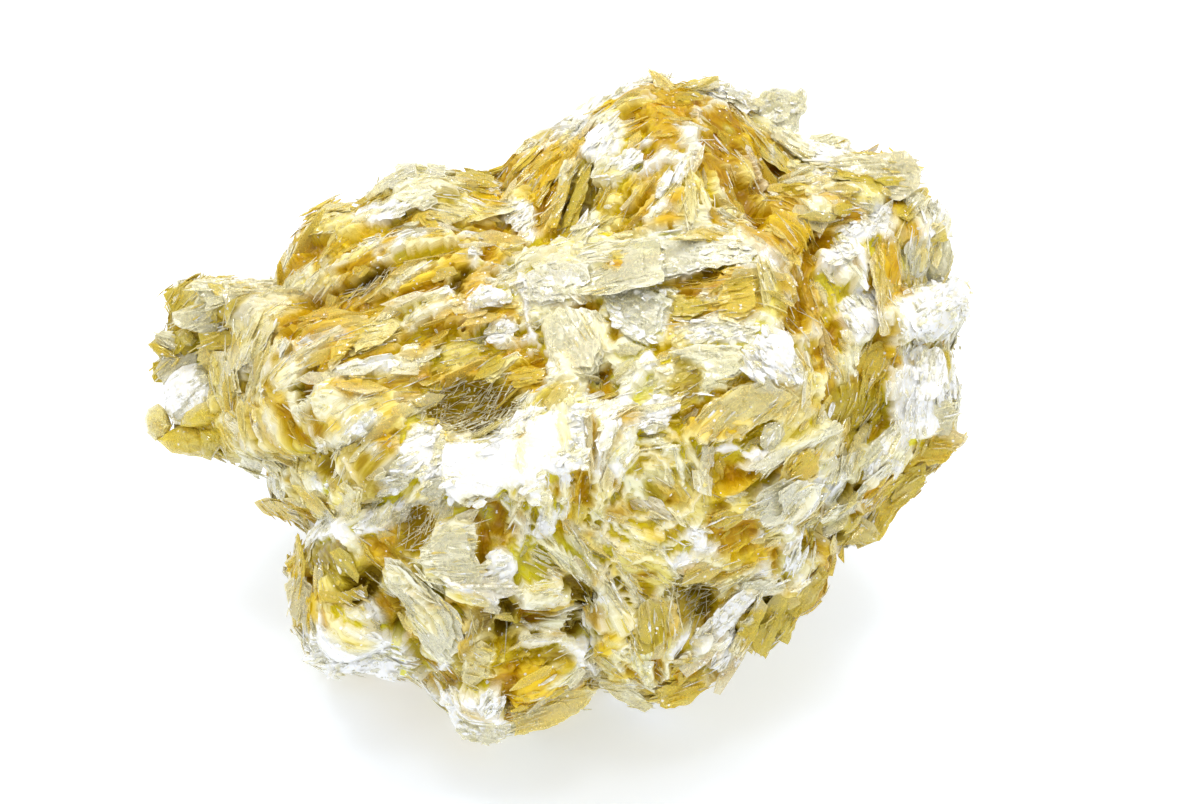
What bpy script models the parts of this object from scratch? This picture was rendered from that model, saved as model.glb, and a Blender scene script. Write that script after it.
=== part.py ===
"""Hand specimen of golden muscovite mica: one grown-together lump of crystal books.

One solid: a massive knot of mica, crystal books standing out of it in fans,
rosettes and shingles, larger sheets at its rim, and a worn flat underneath.
Units are metres, +Z up, the specimen rests on z = 0.
"""
import math
import random

import bmesh
import bpy
from mathutils import Matrix, Vector, noise
from mathutils.bvhtree import BVHTree

for ob in list(bpy.data.objects):
    bpy.data.objects.remove(ob, do_unlink=True)

# ------------------------------------------------------------------ dimensions
MM = 0.001
STEP = 0.104 * MM              # one layout unit
REACH = 416.0 * MM             # the layout lines meet this far out in front
LEAN = math.radians(32.0)      # the layout plane leans back by this much
ORIGIN_PX = (600.0, 402.0)     # layout point of the lines' axis
HEART_PX = (558.0, 408.0)      # layout point of the middle of the knot
HEART = Vector((0.0, 0.0, 26.0 * MM))
HALF_FRONT = 29.5 * MM         # knot's half depth, front
HALF_BACK = 27.5 * MM          # knot's half depth, back
ROUND = 2.35                   # roundness of the knot's sections
SHEAR = 0.25                   # the crown lies further back than the foot
RIM_INSET = 0.93               # knot's rim over the books' rim
FOOT_R = 13.0 * MM             # radius of the worn flat underneath
FOOT_RISE = 12.0 * MM
KNOT_TRIS = 2100
BOOKS = 84
SEED = 4127

U = Vector((1.0, 0.0, 0.0))
V = Vector((0.0, math.sin(LEAN), math.cos(LEAN)))
W = Vector((0.0, -math.cos(LEAN), math.sin(LEAN)))
AXIS0 = HEART - U * ((HEART_PX[0] - ORIGIN_PX[0]) * STEP) - V * ((ORIGIN_PX[1] - HEART_PX[1]) * STEP)


def place(px, py, w):
    """Layout point (px, py) at depth w in front of the layout plane."""
    q = 1.0 - w / REACH
    return AXIS0 + U * ((px - ORIGIN_PX[0]) * STEP * q) + V * ((ORIGIN_PX[1] - py) * STEP * q) + W * w


def unplace(p):
    d = p - AXIS0
    w = d.dot(W)
    q = 1.0 - w / REACH
    return (ORIGIN_PX[0] + d.dot(U) / (STEP * q), ORIGIN_PX[1] - d.dot(V) / (STEP * q), w)


# rim of the specimen in the layout plane, going round once
RIM = [(165, 290), (180, 284), (210, 281), (262, 283), (275, 262), (290, 240), (303, 222), (325, 207),
       (352, 200), (372, 190), (390, 172), (412, 163), (452, 168), (480, 172), (498, 170), (520, 150),
       (545, 130), (585, 118), (605, 98), (652, 75), (680, 84), (735, 86), (757, 99), (800, 128),
       (828, 156), (856, 156), (905, 155), (919, 166), (917, 190), (940, 206), (951, 245), (945, 275),
       (965, 290), (970, 300), (950, 350), (955, 400), (950, 445), (935, 465), (920, 490), (890, 515),
       (872, 540), (845, 541), (828, 560), (815, 600), (795, 613), (768, 645), (745, 650), (720, 680),
       (690, 700), (655, 708), (625, 700), (600, 690), (575, 710), (545, 727), (510, 735), (487, 741),
       (465, 738), (450, 715), (425, 695), (400, 680), (350, 668), (325, 672), (308, 655), (293, 625),
       (285, 590), (287, 565), (302, 553), (300, 530), (280, 515), (262, 507), (255, 490), (238, 450),
       (225, 448), (208, 458), (170, 453), (150, 440), (147, 415), (162, 385), (150, 345)]

# swells (+) and hollows (-) on the front: layout point, spread in units, height in mm
RELIEF = [(735, 400, 85, 5.5), (760, 350, 40, 1.5), (470, 490, 70, 4.5), (560, 440, 50, 3.0),
          (380, 470, 45, 2.5), (475, 405, 38, -4.5), (600, 385, 20, -3.5), (640, 485, 55, 1.0),
          (690, 130, 55, 3.0), (575, 215, 28, -5.0), (770, 170, 24, -3.5), (740, 210, 25, -2.5),
          (300, 290, 30, 2.5), (360, 262, 30, 2.5), (430, 250, 35, 2.0), (290, 335, 20, -2.0),
          (320, 305, 20, -2.5), (375, 285, 22, -3.0), (270, 380, 35, 2.5), (840, 300, 45, 2.0),
          (815, 240, 22, -3.5), (795, 310, 18, -2.5), (855, 420, 25, -4.0), (840, 520, 24, -4.0),
          (780, 500, 40, 2.5), (688, 600, 24, -5.0), (765, 610, 30, -3.5), (715, 640, 35, 2.0),
          (640, 650, 40, 2.0), (590, 590, 26, -3.5), (510, 605, 26, -4.0), (500, 570, 30, 2.5),
          (500, 690, 50, 4.0), (440, 620, 35, 2.5), (385, 600, 24, -4.0), (345, 640, 40, 3.0),
          (420, 515, 24, -3.0), (450, 550, 35, 2.0), (328, 250, 22, -3.5), (385, 205, 30, 1.5)]

# grain of the books on the front: layout point, strike in degrees, how far they lie face-on
GRAIN = [(200, 300, 15, .7), (165, 370, 60, .6), (190, 430, 10, .6), (230, 385, -50, .5),
         (260, 335, 45, .2), (300, 300, 35, .1), (400, 262, 20, .1), (260, 430, -42, .2),
         (300, 465, -25, .3), (345, 440, 50, .8), (420, 330, 25, .3), (480, 240, 8, .3),
         (500, 330, 20, .6), (560, 320, 10, .6), (450, 400, 30, .7), (480, 470, 0, 1.0),
         (400, 460, 30, 1.0), (570, 480, 85, .3), (450, 550, 10, .9), (510, 530, 75, .2),
         (580, 560, -50, .2), (540, 605, 5, .3), (620, 560, -25, .3), (605, 610, -75, .2),
         (640, 660, -80, .3), (625, 695, -35, .3), (700, 640, 50, .2), (770, 630, 70, .6),
         (600, 480, 80, .3), (650, 430, 10, .4), (700, 470, -75, .4), (650, 530, -25, .3),
         (680, 370, 20, .8), (770, 370, -30, .8), (740, 420, 42, .5), (790, 460, 30, .5),
         (780, 505, 20, .8), (800, 545, 80, .2), (815, 370, -70, .1), (785, 280, -78, .1),
         (720, 250, 0, .3), (620, 255, 5, .6), (640, 310, -20, .9), (740, 310, 5, .6),
         (850, 300, -60, .7), (900, 250, 60, .5), (935, 315, 20, 1.0), (860, 440, 45, .2),
         (900, 480, 42, .4), (760, 135, -35, .2), (860, 175, 12, .7), (665, 128, 30, .5),
         (740, 190, -60, .3), (690, 200, 88, .1), (560, 180, 65, .1), (475, 180, 20, .6),
         (385, 205, 20, .8), (320, 240, 25, .4), (330, 570, -45, .9), (350, 650, -5, .9),
         (395, 610, -45, .2), (440, 620, -45, .3), (500, 700, 10, .8), (560, 690, 30, .4)]

# larger sheets and lobes at the rim: corners in layout units, depth, thickness and
# the slope of the sheet (how its depth changes across and up), all lengths in mm
SHEETS = [
    ([(163, 294), (182, 284), (205, 283), (245, 284), (280, 292), (310, 318), (262, 334), (225, 324), (195, 326), (172, 318)], -2.0, 3.0, .05, -.20),
    ([(150, 345), (172, 327), (230, 326), (300, 345), (300, 385), (235, 396), (190, 372), (158, 362)], 0.5, 4.0, .10, -.10),
    ([(148, 418), (152, 440), (172, 453), (208, 457), (228, 447), (290, 450), (300, 405), (230, 372), (190, 368), (166, 384)], 1.0, 5.0, .12, .0),
    ([(240, 452), (256, 490), (282, 512), (350, 520), (350, 470), (290, 436)], 5.0, 3.0, .15, .05),
    ([(256, 499), (263, 507), (300, 529), (350, 548), (390, 520), (310, 498)], 7.0, 2.4, .10, .20),
    ([(286, 590), (288, 566), (303, 554), (350, 545), (420, 600), (430, 655), (350, 667), (326, 671), (309, 655), (294, 625)], 7.0, 9.0, .20, -.10),
    ([(276, 262), (303, 223), (326, 208), (360, 201), (400, 240), (340, 285)], -8.0, 5.0, .10, -.35),
    ([(373, 190), (390, 173), (412, 164), (452, 169), (490, 173), (520, 215), (430, 240), (385, 225)], -12.0, 4.0, .05, -.45),
    ([(499, 170), (521, 151), (546, 131), (584, 119), (610, 150), (575, 235), (520, 225)], -12.0, 6.0, .10, -.40),
    ([(586, 118), (606, 98), (630, 90), (653, 76), (680, 85), (735, 87), (757, 100), (785, 140), (700, 175), (610, 165)], -14.0, 7.0, .05, -.35),
    ([(752, 104), (771, 91), (803, 93), (806, 106), (800, 128), (790, 150), (750, 140)], -17.0, 1.6, .10, -.30),
    ([(795, 152), (828, 150), (850, 147), (905, 154), (919, 167), (917, 190), (880, 220), (800, 220)], -11.0, 3.0, -.15, -.40),
    ([(880, 200), (917, 192), (940, 207), (951, 228), (950, 247), (944, 275), (915, 310), (860, 290)], -4.0, 3.0, -.35, -.20),
    ([(885, 325), (900, 295), (925, 285), (965, 283), (971, 302), (962, 325), (945, 346), (900, 352)], 4.0, 2.6, -.20, .0),
    ([(875, 380), (900, 357), (944, 351), (952, 372), (955, 398), (948, 432), (905, 446), (875, 420)], 4.0, 2.8, -.25, .05),
    ([(880, 450), (915, 432), (950, 400), (966, 437), (950, 445), (935, 465), (905, 490), (870, 480)], 1.5, 3.0, -.30, .10),
    ([(845, 541), (872, 539), (890, 515), (922, 488), (900, 465), (850, 480), (820, 520)], 2.0, 4.5, -.20, .20),
    ([(795, 612), (814, 600), (828, 560), (835, 530), (790, 520), (760, 575), (775, 605)], 5.0, 4.0, -.20, .20),
    ([(745, 649), (766, 655), (789, 636), (797, 600), (760, 575), (715, 600), (720, 640)], 6.0, 2.4, -.10, .25),
    ([(601, 690), (626, 700), (655, 711), (690, 699), (721, 679), (745, 645), (700, 590), (610, 600)], 9.0, 7.0, .0, .20),
    ([(440, 692), (450, 715), (466, 737), (487, 742), (511, 734), (545, 726), (576, 709), (600, 688), (600, 640), (520, 610), (440, 640)], 8.5, 12.0, .0, .15),
    ([(340, 480), (440, 448), (530, 420), (600, 405), (602, 440), (540, 500), (480, 520), (420, 505), (350, 520)], 31.0, 2.6, .02, .35),
    ([(650, 345), (720, 330), (790, 345), (828, 400), (800, 440), (720, 470), (670, 430)], 32.0, 2.6, -.10, -.05),
]


def rim_radius(angle):
    """Distance from the heart to the rim, in layout units, along an angle."""
    dx, dy = math.cos(angle), math.sin(angle)
    best = 0.0
    count = len(RIM)
    for i in range(count):
        ax, ay = RIM[i][0] - HEART_PX[0], HEART_PX[1] - RIM[i][1]
        bx, by = RIM[(i + 1) % count][0] - HEART_PX[0], HEART_PX[1] - RIM[(i + 1) % count][1]
        ex, ey = bx - ax, by - ay
        den = dx * ey - dy * ex
        if abs(den) < 1e-9:
            continue
        dist = (ax * ey - ay * ex) / den
        along = (ax * dy - ay * dx) / den
        if 0.0 <= along <= 1.0 and dist > best:
            best = dist
    return best


RIM_TABLE = [rim_radius(2.0 * math.pi * i / 360) for i in range(360)]
RIM_SOFT = [sum(RIM_TABLE[(i + k) % 360] for k in range(-5, 6)) / 11.0 for i in range(360)]


def knot_point(d):
    """Point of the knot's skin in unit direction d = (across, up, front)."""
    angle = math.atan2(d[1], d[0]) % (2.0 * math.pi)
    step = angle / (2.0 * math.pi) * 360.0
    i = int(step) % 360
    f = step - int(step)
    edge = (RIM_SOFT[i] * (1 - f) + RIM_SOFT[(i + 1) % 360] * f) * STEP * RIM_INSET
    flat = math.hypot(d[0], d[1])
    half = HALF_FRONT if d[2] > 0 else HALF_BACK
    r = ((flat / edge) ** ROUND + (abs(d[2]) / half) ** ROUND) ** (-1.0 / ROUND)
    p = HEART + U * (d[0] * r) + V * (d[1] * r) + W * (d[2] * r - SHEAR * d[1] * r)
    px, py, w = unplace(p)
    if d[2] > 0.0:
        lift = 0.0
        for bx, by, spread, height in RELIEF:
            lift += height * math.exp(-((px - bx) ** 2 + (py - by) ** 2) / (2.0 * spread * spread))
        p += W * (lift * MM * min(1.0, d[2] * 3.0))
    out = (p - HEART).normalized()
    rough = noise.noise(p * 55.0) * 2.2 + noise.noise(p * 130.0 + Vector((7, 3, 1))) * 1.0
    if d[2] <= 0.0:
        rough += noise.noise(p * 28.0 + Vector((2, 9, 4))) * 3.0 * min(1.0, -d[2] * 2.5)
    p += out * (rough * MM)
    r_foot = math.hypot(p.x - HEART.x, p.y - HEART.y + 4.0 * MM)
    floor = -0.4 * MM
    if r_foot > FOOT_R:
        floor += ((r_foot - FOOT_R) / (30.0 * MM)) ** 2 * FOOT_RISE
    if p.z < floor:
        p.z = floor + (p.z - floor) * 0.06
    return p


def grain_at(px, py):
    c = s = f = t = 0.0
    for gx, gy, ang, face in GRAIN:
        wgt = 1.0 / ((px - gx) ** 2 + (py - gy) ** 2 + 90.0) ** 1.6
        c += wgt * math.cos(2 * math.radians(ang))
        s += wgt * math.sin(2 * math.radians(ang))
        f += wgt * face
        t += wgt
    return 0.5 * math.atan2(s, c), f / t


def clean_object(name, verts, faces):
    mesh = bpy.data.meshes.new(name)
    mesh.from_pydata([tuple(v) for v in verts], [], faces)
    mesh.validate()
    ob = bpy.data.objects.new(name, mesh)
    bpy.context.scene.collection.objects.link(ob)
    return ob


def prism(name, base, top):
    """Closed prism between two rings of equal length."""
    n = len(base)
    verts = list(base) + list(top)
    faces = [tuple(reversed(range(n))), tuple(range(n, 2 * n))]
    for i in range(n):
        j = (i + 1) % n
        faces.append((i, j, n + j, n + i))
    ob = clean_object(name, verts, faces)
    bm = bmesh.new()
    bm.from_mesh(ob.data)
    bmesh.ops.recalc_face_normals(bm, faces=bm.faces)
    if bm.calc_volume(signed=True) < 0:
        bmesh.ops.reverse_faces(bm, faces=bm.faces)
    bmesh.ops.triangulate(bm, faces=bm.faces)
    bm.to_mesh(ob.data)
    bm.free()
    return ob


# ------------------------------------------------------------------ the knot
bm = bmesh.new()
bmesh.ops.create_icosphere(bm, subdivisions=5, radius=1.0)
for v in bm.verts:
    v.co = knot_point(v.co.normalized())
bmesh.ops.recalc_face_normals(bm, faces=bm.faces)
mesh = bpy.data.meshes.new("mica_cluster")
bm.to_mesh(mesh)
bm.free()
skin = BVHTree.FromPolygons([v.co.copy() for v in mesh.vertices], [tuple(p.vertices) for p in mesh.polygons])
cluster = bpy.data.objects.new("mica_cluster", mesh)
bpy.context.scene.collection.objects.link(cluster)
total = len(mesh.polygons)
thin = cluster.modifiers.new("thin_out", "DECIMATE")
thin.ratio = KNOT_TRIS / total


def bake(ob):
    """Evaluate the modifiers into the object's own mesh."""
    bpy.context.view_layer.update()
    deps = bpy.context.evaluated_depsgraph_get()
    done = bpy.data.meshes.new_from_object(ob.evaluated_get(deps))
    old = ob.data
    ob.modifiers.clear()
    ob.data = done
    bpy.data.meshes.remove(old)


def closed(mesh):
    b = bmesh.new()
    b.from_mesh(mesh)
    ok = all(len(e.link_faces) == 2 for e in b.edges) and len(b.faces) > 0
    vol = b.calc_volume(signed=True)
    b.free()
    return ok, vol


bake(cluster)


def tidied(mesh, dist):
    """Copy of a mesh with its tiny edges closed up, or None if that opens it."""
    out = mesh.copy()
    b = bmesh.new()
    b.from_mesh(out)
    bmesh.ops.remove_doubles(b, verts=b.verts, dist=dist)
    bmesh.ops.dissolve_degenerate(b, edges=b.edges, dist=dist)
    bmesh.ops.triangulate(b, faces=b.faces)
    b.to_mesh(out)
    b.free()
    ok, vol = closed(out)
    if ok and vol > 0:
        return out
    bpy.data.meshes.remove(out)
    return None


def join_in(tool, operation="UNION"):
    """Boolean of the cluster with one tool solid; kept only if it stays closed."""
    vol0 = closed(cluster.data)[1]
    for attempt in range(4):
        before = cluster.data.copy()
        tool.location = Vector((0.05, -0.04, 0.03)) * (MM * attempt)
        if operation != "UNION":
            tool.location.z = 0.0
        mod = cluster.modifiers.new("grow", "BOOLEAN")
        mod.operation = operation
        mod.solver = "EXACT"
        mod.object = tool
        bake(cluster)
        b = bmesh.new()
        b.from_mesh(cluster.data)
        bmesh.ops.triangulate(b, faces=b.faces)
        b.to_mesh(cluster.data)
        b.free()
        ok, vol = closed(cluster.data)
        if ok and vol > 0 and (operation != "UNION" or vol > vol0 * 0.999):
            neat = tidied(cluster.data, 6e-5) or tidied(cluster.data, 2e-5)
            if neat is not None:
                old = cluster.data
                cluster.data = neat
                bpy.data.meshes.remove(old)
            bpy.data.meshes.remove(before)
            bpy.data.objects.remove(tool, do_unlink=True)
            return True
        old = cluster.data
        cluster.data = before
        bpy.data.meshes.remove(old)
    bpy.data.objects.remove(tool, do_unlink=True)
    return False


# ------------------------------------------------------------------ rim sheets
refused = 0
for k, (corners, depth, thick, sx, sy) in enumerate(SHEETS):
    mx = sum(c[0] for c in corners) / len(corners)
    my = sum(c[1] for c in corners) / len(corners)
    front, back = [], []
    for cx, cy in corners:
        w = depth + sx * (cx - mx) * 0.104 + sy * (my - cy) * 0.104
        front.append(place(cx, cy, (w + thick * 0.5) * MM))
        back.append(place(cx + (mx - cx) * 0.06, cy + (my - cy) * 0.06, (w - thick * 0.5) * MM))
    if not join_in(prism("sheet", back, front)):
        refused += 1

# ------------------------------------------------------------------ crystal books
rng = random.Random(SEED)
golden = math.pi * (3.0 - math.sqrt(5.0))
for k in range(BOOKS):
    h = 1.0 - 2.0 * (k + 0.5) / BOOKS
    r = math.sqrt(1.0 - h * h)
    d = Vector((math.cos(golden * k) * r, math.sin(golden * k) * r, h))
    ray = U * d.x + V * d.y + W * d.z
    hit, nrm, _i, _d = skin.ray_cast(HEART + Vector((0, 0, 0.0)), ray)
    if hit is None or hit.z < 6.0 * MM:
        rng.random(), rng.random(), rng.random(), rng.random()
        continue
    px, py, w = unplace(hit)
    if nrm.dot(W) > 0.15:
        ang, face = grain_at(px, py)
    else:
        ang = math.pi * noise.noise(hit * 35.0)
        face = 0.5 + 0.6 * noise.noise(hit * 60.0 + Vector((5, 5, 5)))
    strike = U * math.cos(ang) + V * math.sin(ang)
    strike = (strike - nrm * strike.dot(nrm)).normalized()
    side = nrm.cross(strike).normalized()
    a, b, c, e = rng.random(), rng.random(), rng.random(), rng.random()
    if face > 0.55:
        lean = Matrix.Rotation(math.radians(-17 + 34 * a), 3, strike) @ Matrix.Rotation(math.radians(-12 + 24 * b), 3, side)
        up = lean @ nrm
        ax = lean @ strike
        ay = lean @ side
        size = (4.0 + 3.2 * c) * MM
        mid = hit + nrm * (0.2 + 0.6 * e) * MM
        ring = []
        for i in range(7):
            t = 2 * math.pi * (i + 0.3 * rng.random()) / 7
            rr = size * (0.75 + 0.4 * rng.random())
            ring.append(mid + ax * (math.cos(t) * rr * 1.25) + ay * (math.sin(t) * rr))
        thick = (0.9 + 0.9 * b) * MM
        tool = prism("book", [q - up * thick * 1.6 for q in ring], [q + up * thick * 0.5 for q in ring])
    else:
        lean = Matrix.Rotation(math.radians(-35 + 70 * a), 3, strike)
        out = lean @ nrm
        flat = out.cross(strike).normalized()
        half = (5.0 + 5.0 * b) * MM
        rise = (1.8 + 2.0 * c) * MM
        thick = (0.9 + 0.9 * e) * MM
        prof = [(-1.0, -1.6), (-0.92, 0.15), (-0.45, 0.75), (0.05, 1.0), (0.55, 0.7), (1.0, 0.1), (0.85, -1.6)]
        ring = []
        for s, q in prof:
            ring.append(hit + strike * (s * half) + out * (q * rise * (0.85 + 0.3 * rng.random())))
        tool = prism("book", [q - flat * thick for q in ring], [q + flat * thick for q in ring])
    if not join_in(tool):
        refused += 1

# ------------------------------------------------------------------ worn foot
half, deep = 150.0 * MM, 100.0 * MM
corner = [Vector((sx * half, sy * half, 0.0)) for sx, sy in ((-1, -1), (1, -1), (1, 1), (-1, 1))]
foot_cut = join_in(prism("foot_plane", [c - Vector((0, 0, deep)) for c in corner], corner), "DIFFERENCE")

neat = tidied(cluster.data, 1.5e-4) or tidied(cluster.data, 1e-4)
if neat is not None:
    cluster.data = neat

mat = bpy.data.materials.new("golden_mica")
mat.use_nodes = True
bsdf = mat.node_tree.nodes["Principled BSDF"]
bsdf.inputs["Base Color"].default_value = (0.70, 0.58, 0.26, 1.0)
bsdf.inputs["Roughness"].default_value = 0.3
bsdf.inputs["Metallic"].default_value = 0.0
bsdf.inputs["IOR"].default_value = 1.58
cluster.data.materials.clear()
cluster.data.materials.append(mat)

# origin: middle of the specimen's box, on the surface it rests on
xs = [v.co.x for v in cluster.data.vertices]
ys = [v.co.y for v in cluster.data.vertices]
shift = Vector((-(min(xs) + max(xs)) * 0.5, -(min(ys) + max(ys)) * 0.5, 0.0))
cluster.data.transform(Matrix.Translation(shift))

lo = [round(min(v.co[i] for v in cluster.data.vertices) / MM, 2) for i in range(3)]
hi = [round(max(v.co[i] for v in cluster.data.vertices) / MM, 2) for i in range(3)]
print("cluster mm", lo, hi, "shift mm", [round(c / MM, 3) for c in shift],
      "triangles", len(cluster.data.polygons), "closed", closed(cluster.data)[0],
      "left out", refused, "foot", foot_cut)
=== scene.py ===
import math

import bmesh
import bpy
import numpy as np
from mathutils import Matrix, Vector, geometry, noise
from mathutils.bvhtree import BVHTree
from mathutils.kdtree import KDTree


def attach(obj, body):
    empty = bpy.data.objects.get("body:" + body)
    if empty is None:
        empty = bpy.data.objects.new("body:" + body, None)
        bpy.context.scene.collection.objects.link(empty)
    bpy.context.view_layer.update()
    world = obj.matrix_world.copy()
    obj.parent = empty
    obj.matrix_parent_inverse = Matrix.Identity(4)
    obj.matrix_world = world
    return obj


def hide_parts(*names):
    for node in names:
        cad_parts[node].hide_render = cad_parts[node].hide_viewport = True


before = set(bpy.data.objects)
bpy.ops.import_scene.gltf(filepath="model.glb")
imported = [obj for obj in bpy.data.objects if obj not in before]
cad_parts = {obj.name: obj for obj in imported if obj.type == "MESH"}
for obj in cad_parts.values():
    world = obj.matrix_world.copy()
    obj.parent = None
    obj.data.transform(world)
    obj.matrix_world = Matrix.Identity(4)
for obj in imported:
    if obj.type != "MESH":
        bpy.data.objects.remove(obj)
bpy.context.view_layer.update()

# ---------------------------------------------------------------- layout (millimetres)
STEP = 0.104
REACH = 416.0
LEAN = math.radians(32.0)
ORIGIN_PX = (600.0, 402.0)
HEART_PX = (558.0, 408.0)
HEART = np.array((0.0, 0.0, 26.0))
SHIFT = np.array((0.114, 2.154, 0.0))
HALF_FRONT, HALF_BACK, ROUND, SHEAR, RIM_INSET = 29.5, 27.5, 2.35, 0.25, 0.965
FOOT_R, FOOT_RISE = 13.0, 12.0
U = np.array((1.0, 0.0, 0.0))
V = np.array((0.0, math.sin(LEAN), math.cos(LEAN)))
W = np.array((0.0, -math.cos(LEAN), math.sin(LEAN)))
AXIS0 = HEART - U * ((HEART_PX[0] - ORIGIN_PX[0]) * STEP) - V * ((ORIGIN_PX[1] - HEART_PX[1]) * STEP)
EYE = AXIS0 + W * REACH
RNG = np.random.default_rng(20947)


def place(px, py, w):
    px, py, w = np.asarray(px, float), np.asarray(py, float), np.asarray(w, float)
    q = 1.0 - w / REACH
    return (AXIS0 + np.multiply.outer((px - ORIGIN_PX[0]) * STEP * q, U)
            + np.multiply.outer((ORIGIN_PX[1] - py) * STEP * q, V) + np.multiply.outer(w, W))


def unplace(p):
    d = p - AXIS0
    w = d @ W
    q = 1.0 - w / REACH
    return ORIGIN_PX[0] + (d @ U) / (STEP * q), ORIGIN_PX[1] - (d @ V) / (STEP * q), w


def unit(v):
    return v / (np.linalg.norm(v, axis=-1, keepdims=True) + 1e-12)


RIM = [(165, 290), (180, 284), (210, 281), (262, 283), (275, 262), (290, 240), (303, 222), (325, 207),
       (352, 200), (372, 190), (390, 172), (412, 163), (452, 168), (480, 172), (498, 170), (520, 150),
       (545, 130), (585, 118), (605, 98), (652, 75), (680, 84), (735, 86), (757, 99), (800, 128),
       (828, 156), (856, 156), (905, 155), (919, 166), (917, 190), (940, 206), (951, 245), (945, 275),
       (965, 290), (970, 300), (950, 350), (955, 400), (950, 445), (935, 465), (920, 490), (890, 515),
       (872, 540), (845, 541), (828, 560), (815, 600), (795, 613), (768, 645), (745, 650), (720, 680),
       (690, 700), (655, 708), (625, 700), (600, 690), (575, 710), (545, 727), (510, 735), (487, 741),
       (465, 738), (450, 715), (425, 695), (400, 680), (350, 668), (325, 672), (308, 655), (293, 625),
       (285, 590), (287, 565), (302, 553), (300, 530), (280, 515), (262, 507), (255, 490), (238, 450),
       (225, 448), (208, 458), (170, 453), (150, 440), (147, 415), (162, 385), (150, 345)]

# swells (+) and hollows (-) of the show side: layout point, spread, height in mm
RELIEF = [(735, 400, 85, 5.5), (760, 350, 40, 1.5), (470, 490, 70, 4.5), (560, 440, 50, 3.0),
          (380, 470, 45, 2.5), (475, 405, 38, -4.5), (600, 385, 20, -3.5), (640, 485, 55, 1.0),
          (690, 130, 55, 3.0), (575, 215, 28, -5.0), (770, 170, 24, -3.5), (740, 210, 25, -2.5),
          (300, 290, 30, 2.5), (360, 262, 30, 2.5), (430, 250, 35, 2.0), (290, 335, 20, -2.0),
          (320, 305, 20, -2.5), (375, 285, 22, -3.0), (270, 380, 35, 2.5), (840, 300, 45, 2.0),
          (815, 240, 22, -3.5), (795, 310, 18, -2.5), (855, 420, 25, -4.0), (840, 520, 24, -4.0),
          (780, 500, 40, 2.5), (688, 600, 24, -5.0), (765, 610, 30, -3.5), (715, 640, 35, 2.0),
          (640, 650, 40, 2.0), (590, 590, 26, -3.5), (510, 605, 26, -4.0), (500, 570, 30, 2.5),
          (500, 690, 50, 4.0), (440, 620, 35, 2.5), (385, 600, 24, -4.0), (345, 640, 40, 3.0),
          (420, 515, 24, -3.0), (450, 550, 35, 2.0), (328, 250, 22, -3.5), (385, 205, 30, 1.5)]

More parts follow.
